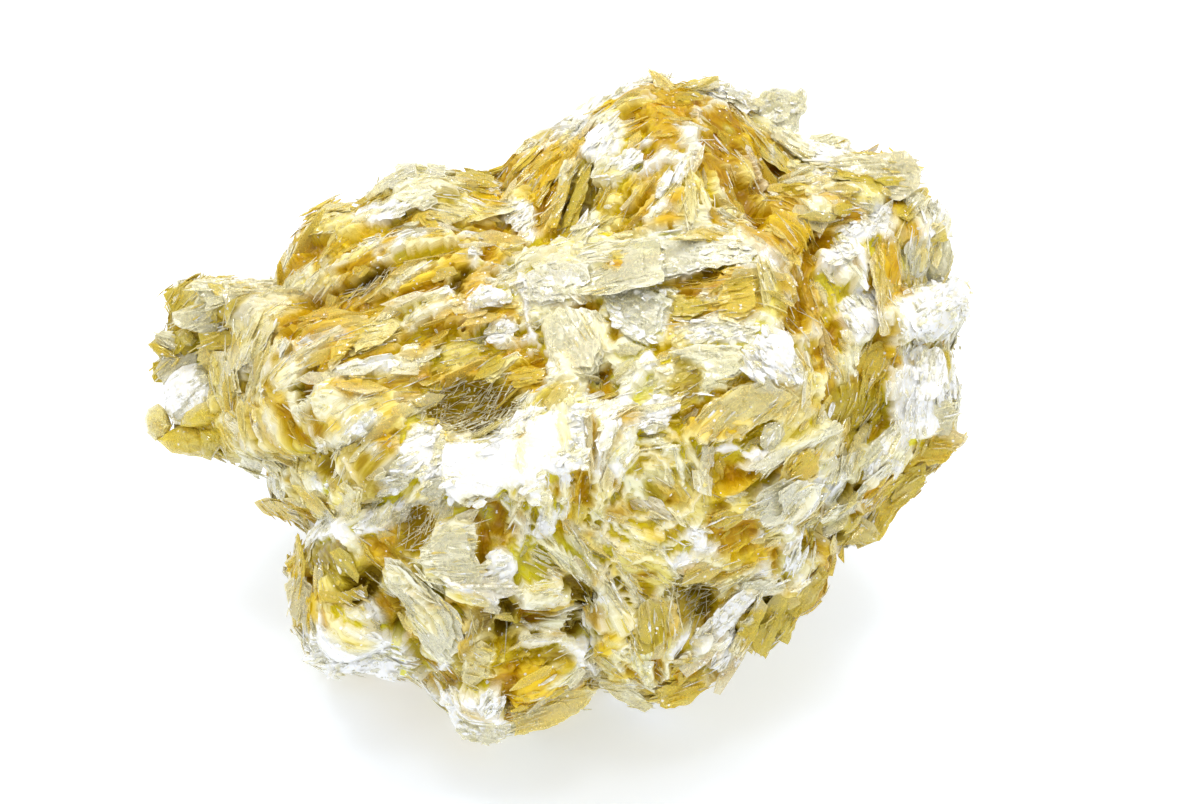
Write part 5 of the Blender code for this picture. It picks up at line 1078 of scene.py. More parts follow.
def pit_rows(pts, threads, glints):
    """Fine threads strung across a hollow, with tiny white specks between them as painted glints."""
    r = RNG
    ids = within(pts)[0]
    rows = []
    for j in range(threads + glints):
        i = int(ids[int(r.random() * len(ids))])
        kind, strike, face = style_at(i, r)
        N = unit(NRM[i] + 0.2 * SKIN_N[i])
        strike = turn(unit(strike - N * (strike @ N) + 1e-6), N, 1.5 * (r.random() - 0.5))
        thread_ = j < threads
        L = (0.5 + 1.5 * r.random() ** 1.5) if thread_ else 0.08 + 0.12 * r.random()
        up = turn(N, strike, 1.2 * (r.random() - 0.5))
        rows.append(dict(c=SKIN[i] + N * (0.05 + 0.75 * r.random()), a=strike, b=np.cross(up, strike), up=up, L=L, B=0.03 + 0.03 * r.random() if thread_ else L * 0.6,
                         th=0.05, bow=0.3 * (r.random() - 0.6), k=r.random() * 60, tint=np.array((0.93, 0.88, 0.66)) if r.random() < 0.6 else np.array((0.62, 0.46, 0.10)),
                         white=0.3 + 0.7 * r.random(), rnd=r.random(), deep=0.0, lit=1.0))
    return rows


PITS = [([(418, 418), (424, 396), (446, 380), (478, 376), (510, 384), (530, 402), (532, 420), (508, 432), (470, 438), (440, 434)], 260, 120),
        ([(415, 500), (432, 506), (441, 520), (432, 534), (424, 548), (414, 556), (400, 546), (394, 522), (402, 508)], 50, 24),
        ([(656, 590), (668, 574), (690, 572), (710, 582), (716, 600), (706, 616), (690, 620)], 60, 24),
        ([(340, 300), (352, 283), (372, 272), (396, 266), (392, 280), (370, 295), (352, 305)], 40, 20)]

# ---------------------------------------------------------------- cleaved plates standing on the skin
PR = np.random.default_rng(411)


def ragged(pts, gap, amp, r, along=None):
    """Outline with extra corners between the given ones, splintered along the grain like cleaved sheet."""
    out = []
    for k in range(len(pts)):
        p, q = np.array(pts[k], float), np.array(pts[(k + 1) % len(pts)], float)
        d = q - p
        ln = float(np.hypot(*d))
        m = max(1, int(ln / gap))
        nrm = np.array((d[1], -d[0])) / (ln + 1e-9)
        for j in range(m):
            t = (j + (0.5 * (r.random() - 0.5) if j else 0.0)) / m
            spot = p + d * t + nrm * (amp * (r.random() - 0.5) * (1.0 if j else 0.4))
            if along is not None:
                spot = spot + along * (r.random() - 0.5) * 2.6 * amp * abs(float(nrm @ along))
            out.append(spot)
    return np.array(out)


def inset(ring, far):
    nxt, prv = np.roll(ring, -1, 0), np.roll(ring, 1, 0)
    area = ((ring[:, 0] * nxt[:, 1] - nxt[:, 0] * ring[:, 1]).sum()) * 0.5
    t = unit(nxt - prv)
    n = np.stack([-t[:, 1], t[:, 0]], 1) * (1.0 if area > 0 else -1.0)
    return ring + n * far


def plate_solid(ring, depth, into, tint, white, ang, centre, thick, edge_px=1.5, deep=0.0, bright=1.0, rough_=0.10, gap=6.5):
    """Closed plate with a crumpled face: outline in layout pixels, depth(px, py) gives its face, thick in mm behind it."""
    ring = np.asarray(ring, float)
    n = len(ring)
    inner = inset(ring, edge_px)
    area = ((ring[:, 0] * np.roll(ring[:, 1], -1) - np.roll(ring[:, 0], -1) * ring[:, 1]).sum())
    c_, s_ = math.cos(ang), math.sin(ang)
    lo_, hi_ = ring.min(0), ring.max(0)
    extra = []
    m = int((hi_[0] - lo_[0]) * (hi_[1] - lo_[1]) / (gap * gap * 1.3))
    for q in lo_ + (hi_ - lo_) * PR.random((min(m, 220), 2)):
        ins = False
        for k in range(n):
            (x0, y0), (x1, y1) = inner[k], inner[(k + 1) % n]
            if (y0 > q[1]) != (y1 > q[1]) and q[0] < (x1 - x0) * (q[1] - y0) / ((y1 - y0) or 1e-9) + x0:
                ins = not ins
        if ins and np.hypot(*(inner - q).T).min() > 2.2:
            extra.append(q)
    pool = [Vector(q) for q in inner] + [Vector(q) for q in extra]
    done = geometry.delaunay_2d_cdt(pool, [], [list(range(n))], 1, 1e-5)
    pts2 = np.array([v[:] for v in done[0]])
    if len(pts2) < 3 or not done[2]:
        return
    first = {}
    for new, olds in enumerate(done[3]):
        for o in olds:
            first[o] = new
    m2 = len(pts2)
    wob = rough_ * PR.normal(size=m2)
    for o in range(n):
        if o in first:
            wob[first[o]] = 0.02 * PR.normal()
    ro = depth(ring[:, 0], ring[:, 1])
    face = place(pts2[:, 0], pts2[:, 1], depth(pts2[:, 0], pts2[:, 1]) + wob)
    top = place(ring[:, 0], ring[:, 1], ro - 0.05)
    low_ = place(ring[:, 0], ring[:, 1], ro - thick)
    mid_ = ring.mean(0)
    hub = place(mid_[0], mid_[1], float(depth(mid_[0], mid_[1])) - thick)[None]
    v = np.concatenate([top, low_, hub, face])
    o0 = 2 * n + 1
    f = []
    for a in range(n):
        b = (a + 1) % n
        if a not in first or b not in first:
            continue
        ia, ib = o0 + first[a], o0 + first[b]
        f += [(a, b, ib), (a, ib, ia), (n + a, n + b, b), (n + a, b, a), (2 * n, n + b, n + a)]
    for t in done[2]:
        if len(t) != 3:
            continue
        p, q, s = pts2[t[0]], pts2[t[1]], pts2[t[2]]
        turned = (q[0] - p[0]) * (s[1] - p[1]) - (q[1] - p[1]) * (s[0] - p[0])
        t = (t[0], t[1], t[2]) if (turned > 0) == (area > 0) else (t[0], t[2], t[1])
        f.append(tuple(o0 + c for c in t))
    f = np.array(f)
    if area > 0:
        f = f[:, ::-1]
    allp = np.concatenate([ring, ring, mid_[None], pts2])
    X, Y = (allp[:, 0] - centre[0]) * STEP, (centre[1] - allp[:, 1]) * STEP
    lay = np.stack([X * c_ + Y * s_, -X * s_ + Y * c_, np.full(len(X), PR.random() * 60)], 1)
    mix = np.tile(np.array((deep, white, 0.0)), (len(v), 1))
    into.add(v, f, np.tile(tint, (len(v), 1)), mix, lay)
    # rim brightness of the plate: painted highlight, partly the pale edges of the sheets
    ridge = np.concatenate([np.full(n, bright), np.full(n, 0.5), [0.3], np.zeros(m2)])
    for o in range(n):
        if o in first:
            ridge[o0 + first[o]] = 0.12
    into.ridge.append(ridge)


SKX, SKY, SKW = unplace(SKIN)
GRID = {}
for _i in FI:
    GRID.setdefault((int(SKX[_i] // 12), int(SKY[_i] // 12)), []).append(_i)


def skin_near(px, py, reach):
    out = []
    for gx in range(int((px - reach) // 12), int((px + reach) // 12) + 1):
        for gy in range(int((py - reach) // 12), int((py + reach) // 12) + 1):
            out += GRID.get((gx, gy), [])
    out = np.array(out, int)
    if len(out) == 0:
        return out
    d = np.hypot(SKX[out] - px, SKY[out] - py)
    return out[d < reach]


def plane_under(pts, most=0.16):
    """Depth plane through the skin under an outline (or beside it): w0, gx, gy about its centre."""
    q = np.array(pts, float)
    cx, cy = q.mean(0)
    reach = max(6.0, float(np.hypot(q[:, 0] - cx, q[:, 1] - cy).max()) * 0.75)
    idx = skin_near(cx, cy, reach)
    grow_ = reach
    while len(idx) < 12 and grow_ < 120:
        grow_ *= 1.4
        idx = skin_near(cx, cy, grow_)
    X, Y, Z = SKX[idx] - cx, SKY[idx] - cy, SKW[idx]
    A = np.stack([np.ones(len(X)), X, Y], 1)
    sol = np.linalg.lstsq(A.T @ A + np.diag([0, 40.0, 40.0]), A.T @ Z, rcond=None)[0]
    g = sol[1:]
    s = np.hypot(*g)
    if s > most:
        g = g * (most / s)
    w0 = np.percentile(Z - X * g[0] - Y * g[1], 70)
    return cx, cy, w0, g[0], g[1]


plates = {"cleaved_plates": Bin(), "rim_blades": Bin()}


def pile_plates(kind, pts, deg, up, layers, into, most=0.28, thick=0.55, rag=1.9, gap=4.2, tilt=0.03, white=None, fit=None, shrink=0.84, tone=1.0):
    cx, cy, w0, gx, gy = fit or plane_under(pts, most)
    q = np.array(pts, float)
    ctr = np.array((cx, cy))
    ang = math.radians(deg)
    along = np.array((math.cos(ang), -math.sin(ang)))
    for j in range(layers):
        ax, ay = tilt * (PR.random() - 0.5), tilt * (PR.random() - 0.5)
        s_along, s_cross = (1.0, 1.0) if j == 0 else (1 - (1 - shrink) * 0.7 * j * (0.6 + 0.8 * PR.random()), 1 - (1 - shrink) * 1.3 * j * (0.6 + 0.8 * PR.random()))
        rel = q - ctr
        ra = (rel @ along)[:, None] * along
        ring = ctr + ra * max(0.25, s_along) + (rel - ra) * max(0.2, s_cross)
        if j:
            ring = ring + along * (PR.random() - 0.5) * 5.0 * j + np.array((-along[1], along[0])) * (PR.random() - 0.5) * 4.0
        ring = ragged(ring, gap, rag, PR, along)
        h = up + 0.17 * j * (0.7 + 0.6 * PR.random())
        depth = lambda a, b, h=h, ax=ax, ay=ay: w0 + h + (gx + ax) * (np.asarray(a) - cx) + (gy + ay) * (np.asarray(b) - cy)
        tint = tint_of(kind, PR) * tone * (0.95 + 0.1 * PR.random())
        wh = (1.0 if kind == "W" else KINDS[kind][1]) if white is None else white
        plate_solid(ring, depth, into, np.clip(tint, 0.004, 0.97), wh, ang, (cx, cy), thick if j == 0 else 0.28 + 0.1 * PR.random(), edge_px=1.1 + 0.8 * PR.random(), bright=0.25 + 0.75 * PR.random())


def inside_px(poly, x, y):
    ins = False
    for k in range(len(poly)):
        (x0, y0), (x1, y1) = poly[k], poly[(k + 1) % len(poly)]
        if (y0 > y) != (y1 > y) and x < (x1 - x0) * (y - y0) / ((y1 - y0) or 1e-9) + x0:
            ins = not ins
    return ins


def area_px(poly):
    q = np.array(poly, float)
    return abs((q[:, 0] * np.roll(q[:, 1], -1) - np.roll(q[:, 0], -1) * q[:, 1]).sum()) / 2


SLIVERS, SPLINTERS = [], []


def silky(x, y):
    """Where the sheets are so thin that only their threads show."""
    return ((x - 565) / 95) ** 2 + ((y - 548) / 78) ** 2 < 1 or ((x - 650) / 48) ** 2 + ((y - 478) / 48) ** 2 < 1 or ((x - 470) / 55) ** 2 + ((y - 335) / 30) ** 2 < 1


def dress(kind, pts, deg, up, fit, dense=1.0):
    """Thin slivers along the grain of a plate, or angular splinters over a white one."""
    cx, cy, w0, gx, gy = fit
    q = np.array(pts, float)
    lo_, hi_ = q.min(0), q.max(0)
    white_one = kind in "WZ"
    want = area_px(pts) / (62.0 if white_one else 85.0) * dense
    n = int(want) + (1 if PR.random() < want % 1 else 0)
    tries = 0
    while n > 0 and tries < 2000:
        tries += 1
        x, y = lo_ + (hi_ - lo_) * PR.random(2)
        if not inside_px(pts, x, y):
            continue
        n -= 1
        w = w0 + up + gx * (x - cx) + gy * (y - cy)
        at = place(x, y, w)
        N = unit(np.cross(place(x + 1, y, w + gx) - at, place(x, y - 1, w - gy) - at))
        ang = math.radians(deg) + (0.9 if white_one else 0.30) * (PR.random() - 0.5)
        a = U * math.cos(ang) + V * math.sin(ang)
        a = unit(a - N * (a @ N))
        side = np.cross(N, a)
        if white_one:
            L = (2.5 + 7.0 * PR.random() ** 1.5) * STEP
            B = L * (0.30 + 0.45 * PR.random())
            upv = turn(turn(N, a, 0.9 * (PR.random() - 0.5)), side, 0.7 * (PR.random() - 0.5))
            k2 = "W" if PR.random() < 0.66 else ("Z" if PR.random() < 0.5 else "S")
        else:
            L = (4.0 + 13.0 * PR.random() ** 1.3) * STEP
            B = (0.6 + 1.6 * PR.random() ** 2) * STEP
            upv = turn(turn(N, a, 1.8 * (PR.random() - 0.5)), side, 0.22 * (PR.random() - 0.5))
            u = PR.random()
            k2 = kind if u < 0.5 else ("C" if u < 0.68 else ("S" if u < 0.82 else ("W" if u < 0.92 else "G")))
        a = unit(a - upv * (a @ upv))
        row = dict(c=at + N * (0.02 + 0.16 * PR.random()), a=a, b=np.cross(upv, a), up=upv, L=L, B=B, th=0.05 + 0.06 * PR.random(),
                   bow=0.10 * (PR.random() - 0.5), k=PR.random() * 60, tint=tint_of(k2, PR), white=1.0 if k2 == "W" else KINDS[k2][1],
                   rnd=0.0, deep=0.0, lit=0.3 + 0.7 * PR.random())
        (SPLINTERS if white_one else SLIVERS).append(row)


for kind, lift, deg, mode, pts in SLABS:
    if mode not in "fs":
        continue
    q = np.array(pts, float)
    span = np.hypot(*(q.max(0) - q.min(0)))
    fit = plane_under(pts, 0.28)
    if kind == "W" and area_px(pts) > 900:
        for _h in (-0.25, 0.15):
            dress(kind, pts, deg, _h, fit, 1.1)
    elif kind == "W":
        pile_plates(kind, pts, deg, -0.05, 1, plates["cleaved_plates"], fit=fit, rag=3.0)
        dress(kind, pts, deg, 0.10, fit, 1.3)
    elif kind in "SC" and silky(*q.mean(0)):
        for _h in (-0.05, 0.10, 0.22):
            dress(kind, pts, deg, _h, fit, 0.75)
    else:
        pile_plates(kind, pts, deg, 0.04, 1 if span < 16 else (2 if span < 34 else 3), plates["cleaved_plates"], fit=fit)
        dress(kind, pts, deg, 0.24 if span > 34 else 0.12, fit, 1.25)


def dress_skin(kind, pts, lift, deg, dense=1.0):
    """Slivers and splinters lying on a rounded feature of the skin."""
    idx, _ = within(pts, lift - 0.45)
    if len(idx) < 6:
        return
    white_one = kind in "WZ"
    for i in PR.choice(idx, max(1, int(area_px(pts) / 95.0 * dense))):
        N = unit(SKIN_N[i] + NRM[i])
        ang = math.radians(deg) + (1.2 if white_one else 0.6) * (PR.random() - 0.5)
        a = U * math.cos(ang) + V * math.sin(ang)
        a = unit(a - N * (a @ N))
        if PR.random() < 0.5:
            L = (3.0 + 8.0 * PR.random() ** 1.5) * STEP
            B = L * (0.18 + 0.35 * PR.random())
            upv = turn(turn(N, a, 0.9 * (PR.random() - 0.5)), np.cross(N, a), 0.5 * (PR.random() - 0.5))
        else:
            L = (4.0 + 10.0 * PR.random()) * STEP
            B = (0.6 + 1.2 * PR.random() ** 2) * STEP
            upv = turn(N, a, 2.0 * (PR.random() - 0.5))
        u = PR.random()
        k2 = kind if u < 0.6 else ("C" if u < 0.72 else ("S" if u < 0.84 else "W"))
        a = unit(a - upv * (a @ upv))
        row = dict(c=SKIN[i] + N * (0.02 + 0.10 * PR.random()), a=a, b=np.cross(upv, a), up=upv, L=L, B=B, th=0.05 + 0.06 * PR.random(),
                   bow=-0.12 * PR.random(), k=PR.random() * 60, tint=tint_of(k2, PR), white=1.0 if k2 == "W" else KINDS[k2][1],
                   rnd=0.0, deep=0.0, lit=0.2 + 0.8 * PR.random())
        (SPLINTERS if white_one else SLIVERS).append(row)


for kind, lift, deg, mode, pts in SLABS:
    if mode in "dg":
        dress_skin(kind, pts, lift, deg, 1.0 if mode == "d" else 0.35)


def dome_solid(pts, height, kind, deg, into, white=None, fit=None, most=0.10, up=0.0, dent=0.06, rings=5, sink=1.0):
    """Closed rounded knob over an outline."""
    cx, cy, w0, gx, gy = fit or plane_under(pts, most)
    ring = ragged(np.array(pts, float), 5.0, 0.8, PR)
    n = len(ring)
    ctr = ring.mean(0)
    ang = math.radians(deg)
    vs, ridge = [], []
    for j in range(rings + 1):
        t = 1 - j / (rings + 0.6)
        q = ctr + (ring - ctr) * t
        h = height * math.sqrt(max(0.0, 1 - t * t)) + dent * PR.normal(size=n)
        vs.append(place(q[:, 0], q[:, 1], w0 + up + gx * (q[:, 0] - cx) + gy * (q[:, 1] - cy) + h))
        # ring brightness of the knob: painted highlight, partly the pale edges of the sheets
        ridge.append(np.full(n, 0.15 + 0.25 * (PR.random() < 0.3)))
    low_ = place(ring[:, 0], ring[:, 1], w0 + up - sink + gx * (ring[:, 0] - cx) + gy * (ring[:, 1] - cy))
    hubs = np.stack([place(ctr[0], ctr[1], w0 + up + gx * (ctr[0] - cx) + gy * (ctr[1] - cy) + height * 1.02),
                     place(ctr[0], ctr[1], w0 + up - sink + gx * (ctr[0] - cx) + gy * (ctr[1] - cy))])
    v = np.concatenate([low_] + vs + [hubs])
    f = []
    for j in range(rings + 1):
        for a in range(n):
            b = (a + 1) % n
            f += [(j * n + a, j * n + b, (j + 1) * n + b), (j * n + a, (j + 1) * n + b, (j + 1) * n + a)]
    last, hub_t, hub_b = (rings + 1) * n, (rings + 2) * n, (rings + 2) * n + 1
    for a in range(n):
        b = (a + 1) % n
        f += [(last + a, last + b, hub_t), (b, a, hub_b)]
    f = np.array(f)
    area = ((ring[:, 0] * np.roll(ring[:, 1], -1) - np.roll(ring[:, 0], -1) * ring[:, 1]).sum())
    if area > 0:
        f = f[:, ::-1]
    px, py, _w = unplace(v)
    X, Y = (px - cx) * STEP, (cy - py) * STEP
    c_, s_ = math.cos(ang), math.sin(ang)
    lay = np.stack([X * c_ + Y * s_, -X * s_ + Y * c_, np.full(len(v), PR.random() * 60)], 1)
    wh = (1.0 if kind == "W" else KINDS[kind][1]) if white is None else white
    into.add(v, f, np.tile(tint_of(kind, PR), (len(v), 1)), np.tile(np.array((0.0, wh, 0.0)), (len(v), 1)), lay)
    into.ridge.append(np.concatenate([np.full(n, 0.3)] + ridge + [np.full(2, 0.1)]))


# plates and tips that stand clear of the mass: kind, strike, rise in mm, sheets, steepest lean, corners
STANDING = [
    # left wing
    ("S", -3, 0.6, 3, .05, [(191, 283), (213, 279), (240, 281), (266, 286), (262, 293), (240, 299), (205, 297), (193, 290)]),
    ("O", 60, 0.4, 3, .05, [(163, 294), (172, 290), (190, 286), (197, 300), (201, 318), (186, 327), (176, 319), (171, 308)]),
    ("S", 20, 0.2, 3, .05, [(172, 312), (200, 303), (240, 303), (252, 312), (238, 327), (210, 333), (190, 330), (177, 327)]),
    ("S", 0, 0.5, 2, .05, [(222, 289), (266, 289), (264, 300), (246, 309), (225, 307)]),
    ("Y", -50, 1.2, 1, .05, [(208, 284), (222, 283), (232, 300), (228, 304), (215, 296)]),
    ("C", -35, 1.3, 1, .05, [(194, 289), (200, 300), (214, 306), (222, 304), (210, 298), (200, 287)]),
    ("O", 10, 0.0, 2, .05, [(198, 333), (230, 331), (236, 345), (226, 351), (205, 349)]),
    ("S", -5, 1.0, 1, .05, [(190, 325), (205, 322), (225, 325), (232, 331), (215, 336), (198, 333)]),
    ("W", 30, 1.4, 1, .05, [(192, 320), (205, 313), (209, 319), (200, 324)]),
    ("A", 40, 1.2, 1, .05, [(223, 327), (232, 319), (236, 322), (230, 329)]),
    ("Z", 80, 0.2, 1, .05, [(176, 289), (177, 281), (185, 280), (187, 287)]),
    ("S", -20, 0.3, 2, .05, [(156, 335), (162, 331), (179, 332), (186, 345), (180, 352), (165, 350), (156, 343)]),
    ("G", -28, 0.9, 1, .05, [(148, 343), (156, 343), (172, 352), (180, 358), (166, 357), (155, 350)]),
    ("S", 45, 0.1, 2, .05, [(155, 362), (162, 356), (180, 354), (196, 352), (196, 362), (180, 367), (172, 378), (164, 385), (157, 377), (153, 368)]),
    ("C", 20, 0.2, 2, .05, [(196, 346), (216, 342), (232, 348), (226, 362), (212, 366), (198, 360)]),
    # horn, blade and clear plates at the top
    ("C", -50, 0.5, 2, .05, [(648, 71), (654, 70), (663, 76), (672, 86), (684, 96), (668, 100), (655, 90), (653, 80)]),
    ("O", 13, 0.8, 2, .04, [(674, 90), (682, 85), (700, 82), (716, 75), (718, 80), (702, 88), (686, 93)]),
    ("S", 8, 0.6, 1, .04, [(714, 84), (733, 84), (738, 89), (720, 91)]),
    ("W", -20, 0.5, 2, .05, [(722, 88), (742, 87), (754, 94), (760, 106), (746, 114), (735, 106)]),
    ("Z", 30, 0.5, 3, .05, [(753, 101), (764, 92), (772, 87), (786, 88), (794, 92), (801, 87), (807, 95), (805, 113), (799, 120), (799, 131), (782, 133), (764, 122), (752, 112)]),
    ("W", -15, 0.4, 2, .05, [(790, 133), (802, 134), (815, 142), (832, 146), (852, 142), (851, 150), (837, 160), (820, 162), (800, 152)]),
    ("S", -25, 0.2, 2, .08, [(770, 124), (792, 130), (812, 146), (826, 160), (812, 168), (790, 152), (772, 138)]),
    ("S", 4, 0.9, 3, .06, [(828, 160), (850, 153), (876, 155), (905, 150), (916, 161), (921, 171), (917, 190), (900, 201), (880, 197), (850, 187), (828, 174)]),
    ("Z", -30, 1.9, 1, .06, [(890, 156), (905, 150), (916, 163), (906, 173), (893, 166)]),
    ("O", 2, 1.9, 1, .06, [(874, 180), (890, 176), (908, 180), (905, 185), (885, 186)]),
    ("O", 5, 1.2, 1, .08, [(824, 188), (845, 183), (861, 189), (850, 197), (830, 194)]),
    ("O", 20, 1.0, 1, .08, [(833, 208), (842, 202), (852, 204), (852, 212), (843, 217), (836, 214)]),
    ("O", -8, 0.9, 1, .08, [(798, 215), (815, 211), (838, 216), (830, 222), (810, 221)]),
    ("S", 55, 0.7, 2, .07, [(902, 193), (912, 187), (918, 194), (931, 198), (923, 215), (914, 226), (900, 236), (893, 226), (905, 205)]),
    ("W", 60, 0.3, 2, .07, [(930, 200), (942, 206), (951, 220), (953, 238), (940, 238), (925, 233), (916, 226), (925, 210)]),
    ("Y", 30, 0.9, 1, .07, [(922, 227), (936, 222), (946, 226), (948, 241), (926, 242)]),
    ("S", 70, 0.4, 2, .07, [(925, 242), (950, 240), (953, 262), (946, 280), (930, 276), (922, 258)]),
    # right edge
    ("W", 32, 1.6, 3, .04, [(897, 312), (905, 298), (922, 287), (945, 283), (962, 281), (971, 290), (966, 302), (953, 322), (940, 336), (920, 345), (903, 340), (895, 328)]),
    ("Y", 50, 2.3, 1, .04, [(956, 283), (964, 280), (971, 289), (965, 295), (958, 292)]),
    ("A", 0, 2.6, 1, .04, [(962, 290), (966, 288), (969, 292), (966, 296), (962, 294)]),
    ("W", 30, 2.6, 1, .04, [(908, 318), (925, 302), (946, 296), (955, 300), (938, 316), (918, 332)]),
    ("W", 80, 1.4, 2, .05, [(905, 352), (925, 345), (944, 352), (948, 375), (938, 398), (918, 402), (905, 388), (900, 368)]),
    ("O", 80, 0.6, 2, .05, [(938, 348), (949, 352), (952, 378), (946, 392), (939, 376)]),
    ("C", 10, 0.4, 2, .05, [(925, 402), (950, 400), (956, 418), (948, 436), (926, 430)]),
    ("G", -5, 0.6, 2, .04, [(925, 430), (946, 426), (968, 436), (960, 446), (946, 462), (928, 466), (918, 450)]),
    ("O", 35, 0.2, 2, .05, [(905, 470), (928, 462), (926, 482), (912, 498), (898, 510), (890, 498)]),
    ("G", 60, 0.3, 2, .05, [(880, 500), (898, 500), (892, 520), (880, 540), (866, 545), (866, 522)]),
    ("C", -30, 0.6, 2, .05, [(835, 520), (858, 515), (876, 525), (876, 542), (852, 545), (838, 538)]),
    ("O", 60, 0.6, 2, .05, [(788, 596), (806, 580), (822, 566), (828, 575), (816, 602), (796, 618), (786, 612)]),
    ("O", 65, 0.8, 2, .05, [(745, 640), (762, 612), (778, 590), (790, 600), (778, 630), (766, 657), (754, 654)]),
    ("Y", 65, 1.1, 2, .05, [(728, 650), (745, 620), (760, 596), (768, 606), (756, 636), (742, 658)]),
    ("W", 45, 1.0, 2, .05, [(690, 640), (716, 612), (742, 590), (748, 600), (730, 628), (702, 655)]),
    # foot of the mass
    ("Y", 20, 0.5, 2, .05, [(655, 690), (680, 680), (705, 672), (712, 684), (690, 704), (664, 710)]),
    ("W", -10, 0.6, 2, .05, [(440, 690), (465, 700), (488, 716), (510, 722), (505, 738), (487, 744), (463, 740), (450, 720)]),
    ("C", 15, 0.5, 2, .05, [(510, 700), (545, 696), (578, 690), (598, 690), (580, 712), (548, 729), (515, 736)]),
    ("W", 10, 0.5, 2, .05, [(310, 640), (340, 636), (372, 646), (398, 664), (396, 682), (360, 672), (326, 674), (308, 660)]),
    ("S", 80, 0.4, 2, .05, [(284, 585), (300, 575), (318, 590), (322, 616), (306, 628), (290, 616)]),
]
for kind, deg, up, layers, most, pts in STANDING:
    fit = plane_under(pts, most)
    if kind == "W":
        layers = max(1, layers - 1)
    pile_plates(kind, pts, deg, up, layers, plates["rim_blades"], most=most, thick=1.2, rag=2.0, gap=4.5, tilt=0.05, fit=fit)
    dress(kind, pts, deg, up + 0.17 * layers - 0.05, fit, 1.0)

KNOBS = [
    ("W", 2.6, 30, 0.3, [(163, 388), (170, 375), (182, 366), (196, 363), (208, 367), (214, 378), (212, 395), (216, 412), (210, 424), (190, 426), (174, 424), (165, 410)]),
    ("Y", 1.6, 20, 1.5, [(183, 412), (195, 402), (211, 398), (221, 418), (208, 426), (192, 427), (180, 426)]),
    ("C", 1.6, 0, 0.4, [(144, 420), (148, 409), (158, 403), (166, 410), (172, 426), (166, 437), (155, 441), (147, 433)]),
    ("Y", 1.0, 10, 1.2, [(152, 424), (158, 418), (165, 424), (163, 432), (155, 433)]),
    ("Y", 1.8, -20, 0.2, [(157, 440), (168, 432), (182, 424), (200, 428), (212, 440), (206, 452), (190, 456), (172, 453)]),
    ("O", 1.4, -40, 0.5, [(200, 430), (226, 428), (230, 440), (219, 449), (211, 461), (203, 458), (200, 446)]),
    ("O", 1.2, 40, 1.0, [(177, 336), (184, 328), (192, 331), (197, 340), (192, 346), (183, 345)]),
]
for kind, height, deg, up, pts in KNOBS:
    dome_solid(pts, height, kind, deg, plates["rim_blades"], up=up, most=0.05, sink=2.5)


bins = {"shards_front": Bin(), "shards_back": Bin(), "sheet_edges": Bin(), "crumbs_and_glints": Bin()}
bins.update(plates)
build_shards(needle_rows(1300), bins["sheet_edges"])
# painted glints: white crumbs scattered over the skin
build_shards(glint_chip_rows(1500), bins["crumbs_and_glints"])
for _pts, _threads, _glints in PITS:
    build_shards(pit_rows(_pts, _threads, _glints), bins["crumbs_and_glints"])
build_shards(SLIVERS, bins["sheet_edges"])
build_shards(SPLINTERS, bins["crumbs_and_glints"])
build_shards(shard_rows(3600), bins["shards_front"])
build_shards(shard_rows(1500, big=0.2), bins["sheet_edges"])
build_shards(shard_rows(900, big=0.75), bins["shards_front"])
build_shards(shard_rows(500, rim=True, big=0.35), bins["shards_front"])
build_shards(shard_rows(1480, back=True), bins["shards_back"])
build_shards(shard_rows(320, back=True, big=0.7), bins["shards_back"])
bins["books_back"] = Bin()
build_shards(stack_rows(500), bins["books_back"])


# ---------------------------------------------------------------- materials
def nodes_of(mat):
    mat.use_nodes = True
    nt = mat.node_tree
    nt.nodes.clear()
    return nt


def node(nt, kind, **set_):
    n = nt.nodes.new(kind)
    for k, v in set_.items():
        setattr(n, k, v)
    return n


def mix_rgb(nt, fac, a, b, blend="MIX"):
    n = node(nt, "ShaderNodeMix", data_type="RGBA", blend_type=blend)
    for sock, val in ((0, fac), (6, a), (7, b)):
        if isinstance(val, (int, float)):
            n.inputs[sock].default_value = val
        elif isinstance(val, tuple):
            n.inputs[sock].default_value = (*val, 1.0)
        else:
            nt.links.new(val, n.inputs[sock])
    return n.outputs[2]


def ramp(nt, val, a, b, lo=0.0, hi=1.0):
    n = node(nt, "ShaderNodeMapRange")
    n.clamp = True
    nt.links.new(val, n.inputs[0])
    for k, v in ((1, a), (2, b), (3, lo), (4, hi)):
        n.inputs[k].default_value = v
    return n.outputs[0]


def calc(nt, op, a, b=None):
    n = node(nt, "ShaderNodeMath", operation=op)
    for k, v in ((0, a), (1, b)):
        if v is None:
            continue
        if isinstance(v, (int, float)):
            n.inputs[k].default_value = v
        else:
            nt.links.new(v, n.inputs[k])
    return n.outputs[0]


def noise_tex(nt, vec, scale, detail=3.0, rough=0.55, warp_=0.0):
    n = node(nt, "ShaderNodeTexNoise")
    n.inputs["Scale"].default_value = scale
    n.inputs["Detail"].default_value = detail
    n.inputs["Roughness"].default_value = rough
    n.inputs["Distortion"].default_value = warp_
    nt.links.new(vec, n.inputs["Vector"])
    return n.outputs[0]


def scaled(nt, vec, by):
    n = node(nt, "ShaderNodeVectorMath", operation="MULTIPLY")
    nt.links.new(vec, n.inputs[0])
    n.inputs[1].default_value = by
    return n.outputs[0]


